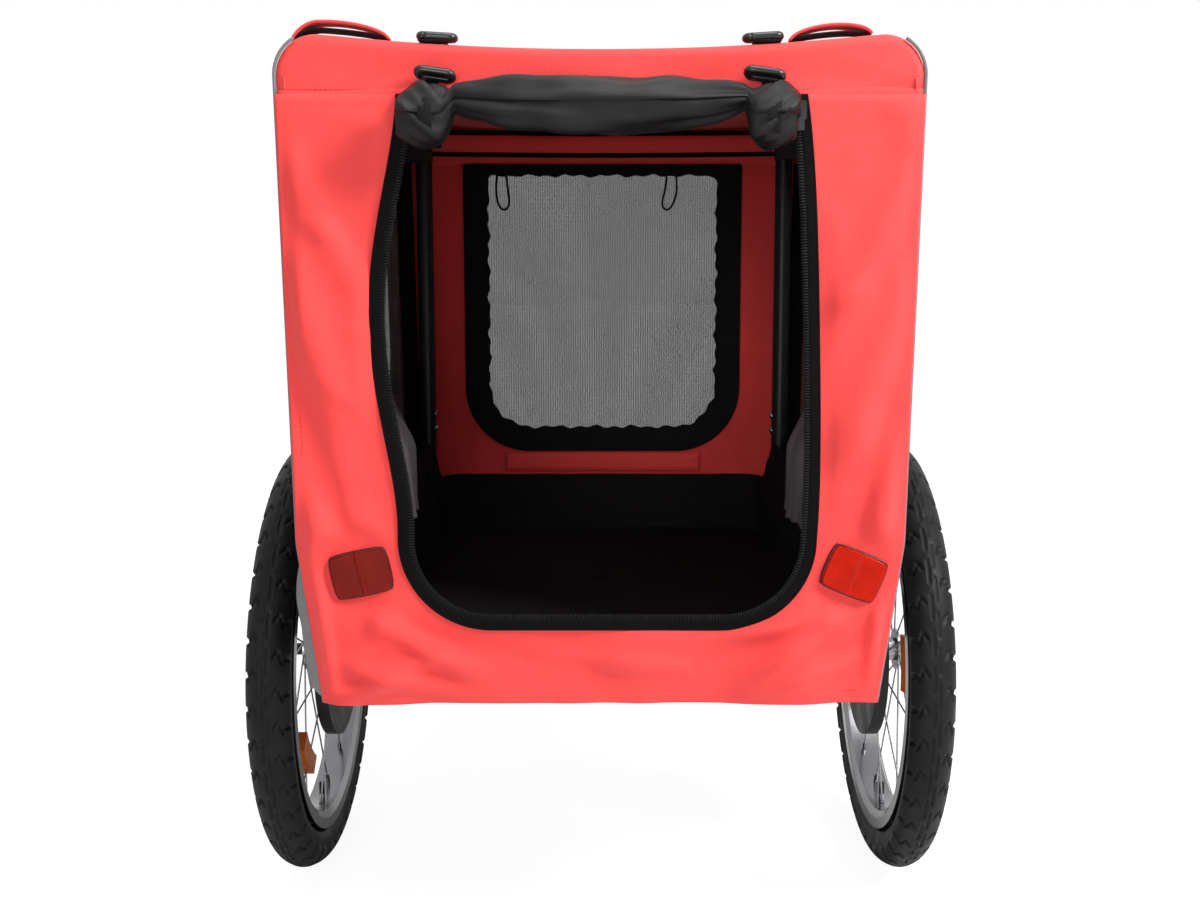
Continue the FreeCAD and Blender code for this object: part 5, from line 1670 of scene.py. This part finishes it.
@dataclass
class Wheel:
    """One wheel with its tread."""

    side: int
    name: str
    body: Body
    track: float = 0.341
    axle_z: float = 0.250
    middle: float = 0.225
    carcass: float = 0.0218
    lug: float = 0.0033
    rib: float = 0.0005
    ring: float = 0.000525
    lugs: int = 42
    sections: tuple[int, int] = (1260, 60)

    def tyre(self) -> Shell:
        """Tyre: a ring whose section is a circle raised by a tread pattern.

        The pattern has a middle rib cut by two broken grooves, zigzag cuts on both shoulders and short
        slits at the tread's edges.

        Returns:
            The tyre, closed by a liner on its inside.
        """
        around = np.linspace(0, 2 * np.pi, self.sections[0] + 1)[:, None]
        over = np.radians(np.linspace(-134, 134, self.sections[1]))[None, :]
        tilt = np.degrees(np.abs(over))
        turn = around * self.lugs / (2 * np.pi) + np.where(over > 0, 0.5, 0.0)
        width = self.lugs / (2 * np.pi * self.middle)

        def slit(place: np.ndarray, half: float) -> np.ndarray:
            """Cut that is half metres wide on each side of each whole number of place."""
            away = np.abs(place - np.round(place))
            return 1 - step(away, 0.5 * half * width, 1.3 * half * width)

        dash = 1 - slit(turn, 0.005)
        groove = np.exp(-(((tilt - 6.5) / 2.0) ** 2)) * dash
        saw = np.abs(((tilt - 20) / 13) % 2 - 1)
        zigzag = slit(turn + 0.30 * saw + 0.006 * tilt, 0.0023) * step(tilt, 19, 22) * step(-tilt, -58, -54)
        edge = slit(turn + 0.42, 0.0030) * step(tilt, 52, 58)
        rib = self.rib * step(-tilt, -13, -10.5)
        plateau = step(-tilt, -84, -76)
        rings = self.ring * (np.exp(-(((tilt - 92) / 2.0) ** 2)) + np.exp(-(((tilt - 108) / 2.5) ** 2)))
        cut = np.maximum(np.maximum(groove, zigzag), edge)
        raised = self.carcass + (self.lug - self.rib + rib) * plateau * (1 - cut) + rings
        liner = np.linspace(1, -1, 9)[None, 1:-1] * over[0, -1]
        over = np.concatenate([over, liner, over[:, :1]], 1)
        raised = np.concatenate([raised, np.full((len(around), 7), self.carcass - 0.003), raised[:, :1]], 1)
        reach = self.middle + raised * np.cos(over)
        x = self.side * self.track + raised * np.sin(over) * 0.985
        return Shell().add(spots(x, reach * np.sin(around), self.axle_z + reach * np.cos(around)))

    def build(self, looks: Finishes) -> None:
        """Make the tyre and paint the wheel's other parts.

        Args:
            looks: The trailer's materials.
        """
        tyre = self.tyre().object(self.name + "_tread_tyre", closed=True)
        dress(tyre, self.body, looks.tyre, (self.name + "_tyre",))
        paint(looks.rubber, self.name + "_inner_tube", self.name + "_valve")
        paint(looks.rim, self.name + "_rim")
        paint(looks.steel, *(self.name + part for part in ("_spokes", "_hub", "_bearings", "_axle")))
        paint(looks.amber, self.name + "_spoke_reflector")
        paint(looks.plastic, self.name + "_axle_button", self.name + "_axle_plate")


@dataclass
class Hardware:
    """Rear reflectors, rivets and the painted metal work."""

    cover: Cover
    width: float = 0.055
    height: float = 0.042
    depth: float = 0.007
    rivet_x: float = 0.2315
    rivet_radius: float = 0.0062
    rivet_dome: float = 0.0034
    rivet_y: tuple[float, float] = (0.280, 0.248)
    rivet_z: tuple[float, float] = (0.486, 0.506)

    def reflector(self, x: float, tilt: float, grow: float, depth: float) -> np.ndarray:
        """Front of one reflector: a rounded plate with a raised rim and a rib down its middle.

        Args:
            x: Place across the wall.
            tilt: Turn in degrees, as seen from behind, clockwise.
            grow: Extra size all round.
            depth: Depth of the plate.

        Returns:
            Grid of the closed plate.
        """
        u, v = np.meshgrid(np.linspace(-1, 1, 61), np.linspace(-1, 1, 47))
        squeeze = 1 - 0.10 * (np.abs(u) * np.abs(v)) ** 3
        a, b = u * squeeze * (self.width / 2 + grow), v * squeeze * (self.height / 2 + grow)
        border = np.maximum(np.abs(u), np.abs(v))
        edge = step(1 - border, 0.0, 0.05)
        rim = np.exp(-(((1 - border) / 0.06) ** 2)) * 0.0008
        rib = np.exp(-((u / 0.035) ** 2)) * 0.0009
        lift = edge * (depth - 0.0012 + rim + rib + 0.0009 * (1 - (u * u + v * v) / 2))
        turn = math.radians(tilt)
        px = x + a * math.cos(turn) + b * math.sin(turn)
        pz = LENS_Z - a * math.sin(turn) + b * math.cos(turn)
        wall = -self.cover.half_l - 0.0004
        front, back = spots(px, wall - lift, pz), spots(px, wall, pz)
        return np.concatenate([front, back[::-1]])

    def rivets(self, side: int) -> Shell:
        """Domed bolt heads on the inner side of two posts: half circles turned about their axis.

        Args:
            side: -1 for the left, 1 for the right.

        Returns:
            Four rivets.
        """
        shell = Shell()
        rows = np.linspace(0, np.pi / 2, 7)[:, None]
        cols = np.linspace(0, 2 * np.pi, 17)[None, :]
        post_y = self.rivet_y[side > 0]
        for y in (post_y, -post_y):
            for z in self.rivet_z:
                x = side * (self.rivet_x - self.rivet_dome * np.cos(rows))
                away = self.rivet_radius * np.sin(rows)
                grid = spots(x, y + away * np.cos(cols), z + away * np.sin(cols))
                foot = spots(side * self.rivet_x, grid[-1:, :, 1], grid[-1:, :, 2])
                centre = np.broadcast_to(np.array([side * self.rivet_x, y, z]), foot.shape)
                shell.add(np.concatenate([grid, foot, centre]))
        return shell

    def build(self, looks: Finishes) -> None:
        """Make the reflectors and rivets and paint the metal work.

        Args:
            looks: The trailer's materials.
        """
        # The left lens takes the darker copy of the reflector red as painted shade, the right the brighter
        # copy as painted light.
        for (x, tilt), (_, name), look in zip(LENS_PLACES, SIDES, (looks.shaded_left_lens, looks.lens)):
            plate = Shell().add(self.reflector(x, tilt, 0.0, self.depth + 0.001))
            lens = plate.object(name + "_rear_lens", closed=True)
            dress(lens, Body.CHASSIS, look, ("rear_reflectors",), share=LENS_SHARE)
            # The base's dark rim round the lens is painted shadow of the reflector's edge.
            plate = Shell().add(self.reflector(x, tilt, 0.0016, self.depth - 0.003))
            housing = plate.object(name + "_lens_housing", closed=True)
            dress(housing, Body.CHASSIS, looks.lens_base_and_edge_shadow, share=LENS_SHARE)
        for (side, name), body in zip(SIDES, (Body.LEFT_POSTS, Body.RIGHT_POSTS)):
            rivets = self.rivets(side).object(name + "_post_rivets", closed=True)
            dress(rivets, body, looks.chrome)
            paint(looks.coat, name + "_posts")
            paint(looks.plastic, name + "_post_caps")
        paint(looks.coat, "floor_frame", "cross_tubes", "hinge_brackets", "roof_rails", "roof_bars")
        paint(looks.coat, "tow_bar", "tow_clevis")
        paint(looks.plastic, "roof_fittings", "tow_knob")
        paint(looks.chrome, "axle_plate_bolts", "hitch_pin")
        paint(looks.steel, "axle_bushes", "pivot_bolts", "hitch_fork", "hitch_plate")
        paint(looks.rubber, "hitch_flex")


@dataclass
class Studio:
    """Pale floor, soft light and the photograph's camera."""

    eye: tuple[float, float, float] = (0.006, -1.529, 0.686)
    pitch: float = 0.127
    lens: float = 39.24
    middle_px: float = 606.7
    frame_px: float = 1200.0
    soft_light: float = 0.30
    floor_glow: float = 1.31
    glow_share: float = 0.7
    floor_half: float = 40.0
    floor_z: float = -0.0005

    def camera(self) -> None:
        """Camera behind the trailer, looking forward and a little down."""
        data = bpy.data.cameras.new("photo_camera")
        data.lens = self.lens
        data.sensor_width = 36.0
        data.shift_x = (self.frame_px / 2 - self.middle_px) / self.frame_px
        data.clip_start = 0.05
        data.clip_end = 200.0
        holder = bpy.data.objects.new("photo_camera", data)
        holder.location = tuple(np.array(self.eye) + AXLE)
        holder.rotation_euler = (math.pi / 2 - self.pitch, 0.0, 0.0)
        bpy.context.scene.collection.objects.link(holder)
        bpy.context.scene.camera = holder

    def lamp(self, name: str, place: tuple, aim: tuple, size: float, power: float) -> None:
        """Large soft lamp.

        Args:
            name: Name of the lamp.
            place: Where it hangs.
            aim: Point that it faces.
            size: Side of its square.
            power: Watts.
        """
        data = bpy.data.lights.new(name, "AREA")
        data.size = size
        data.energy = power
        holder = bpy.data.objects.new(name, data)
        start = np.array(place) + AXLE
        way = np.array(aim) + AXLE - start
        flat = math.hypot(way[0], way[1])
        holder.location = tuple(start)
        holder.rotation_euler = (math.atan2(flat, -way[2]), 0.0, math.atan2(-way[0], way[1]))
        bpy.context.scene.collection.objects.link(holder)

    def world(self) -> None:
        """White surroundings for what is seen, and a plain grey light for the rest."""
        world = bpy.data.worlds.new("studio")
        world.use_nodes = True
        tree = world.node_tree
        tree.nodes.clear()
        seen = tree.nodes.new("ShaderNodeBackground")
        seen.inputs["Color"].default_value = (1, 1, 1, 1)
        soft = tree.nodes.new("ShaderNodeBackground")
        soft.inputs["Color"].default_value = (0.97, 0.98, 1, 1)
        soft.inputs["Strength"].default_value = self.soft_light
        path = tree.nodes.new("ShaderNodeLightPath")
        rays = path.outputs["Is Camera Ray"]
        for kind in ("Is Glossy Ray", "Is Transmission Ray"):
            either = tree.nodes.new("ShaderNodeMath")
            either.operation = "MAXIMUM"
            tree.links.new(rays, either.inputs[0])
            tree.links.new(path.outputs[kind], either.inputs[1])
            rays = either.outputs[0]
        mix = tree.nodes.new("ShaderNodeMixShader")
        output = tree.nodes.new("ShaderNodeOutputWorld")
        tree.links.new(rays, mix.inputs["Fac"])
        tree.links.new(soft.outputs[0], mix.inputs[1])
        tree.links.new(seen.outputs[0], mix.inputs[2])
        tree.links.new(mix.outputs[0], output.inputs["Surface"])
        bpy.context.scene.world = world

    def floor(self) -> None:
        """Pale floor that is nearly white to the camera and still takes the shadow."""
        side = np.linspace(-self.floor_half, self.floor_half, 9)
        x, y = np.meshgrid(side, side)
        floor = Shell().add(spots(x, y, self.floor_z)).object("studio_floor")
        bench = Bench("studio_floor")
        bench.shader.inputs["Base Color"].default_value = (0.9, 0.9, 0.9, 1)
        bench.set(Roughness=0.9)
        glow = bench.add("ShaderNodeEmission")
        glow.inputs["Strength"].default_value = self.floor_glow
        path = bench.add("ShaderNodeLightPath")
        mix = bench.add("ShaderNodeMixShader")
        bench.join(bench.math("MULTIPLY", path.outputs["Is Camera Ray"], self.glow_share), mix.inputs["Fac"])
        bench.join(bench.shader.outputs[0], mix.inputs[1])
        bench.join(glow.outputs[0], mix.inputs[2])
        bench.join(mix.outputs[0], bench.tree.nodes["Material Output"].inputs["Surface"])
        floor.data.materials.append(bench.material)

    def build(self) -> None:
        """Set up the camera, the lamps, the surroundings and the floor."""
        self.camera()
        self.world()
        self.floor()
        self.lamp("key_lamp", (2.0, -1.45, 2.2), (0, -0.3, 0.55), 0.8, 96)
        self.lamp("fill_lamp", (-0.5, -3.1, 1.0), (0, 0.2, 0.5), 1.3, 27)
        self.lamp("top_lamp", (0.2, -0.7, 3.0), (0, 0, 0.5), 1.4, 38)
        bpy.context.scene.view_settings.view_transform = "Standard"


def main() -> None:
    """Build the trailer piece by piece."""
    logging.basicConfig(level=logging.INFO, format="%(name)s: %(message)s")
    Studio().build()
    looks = Finishes()
    cover = Cover()
    Windows(cover).build(looks)
    cover.build(looks)
    Door(cover).build(looks)
    Tub().build(looks)
    Wheel(-1, "left", Body.LEFT_WHEEL).build(looks)
    Wheel(1, "right", Body.RIGHT_WHEEL).build(looks)
    Hardware(cover).build(looks)


if __name__ == "__main__":
    main()
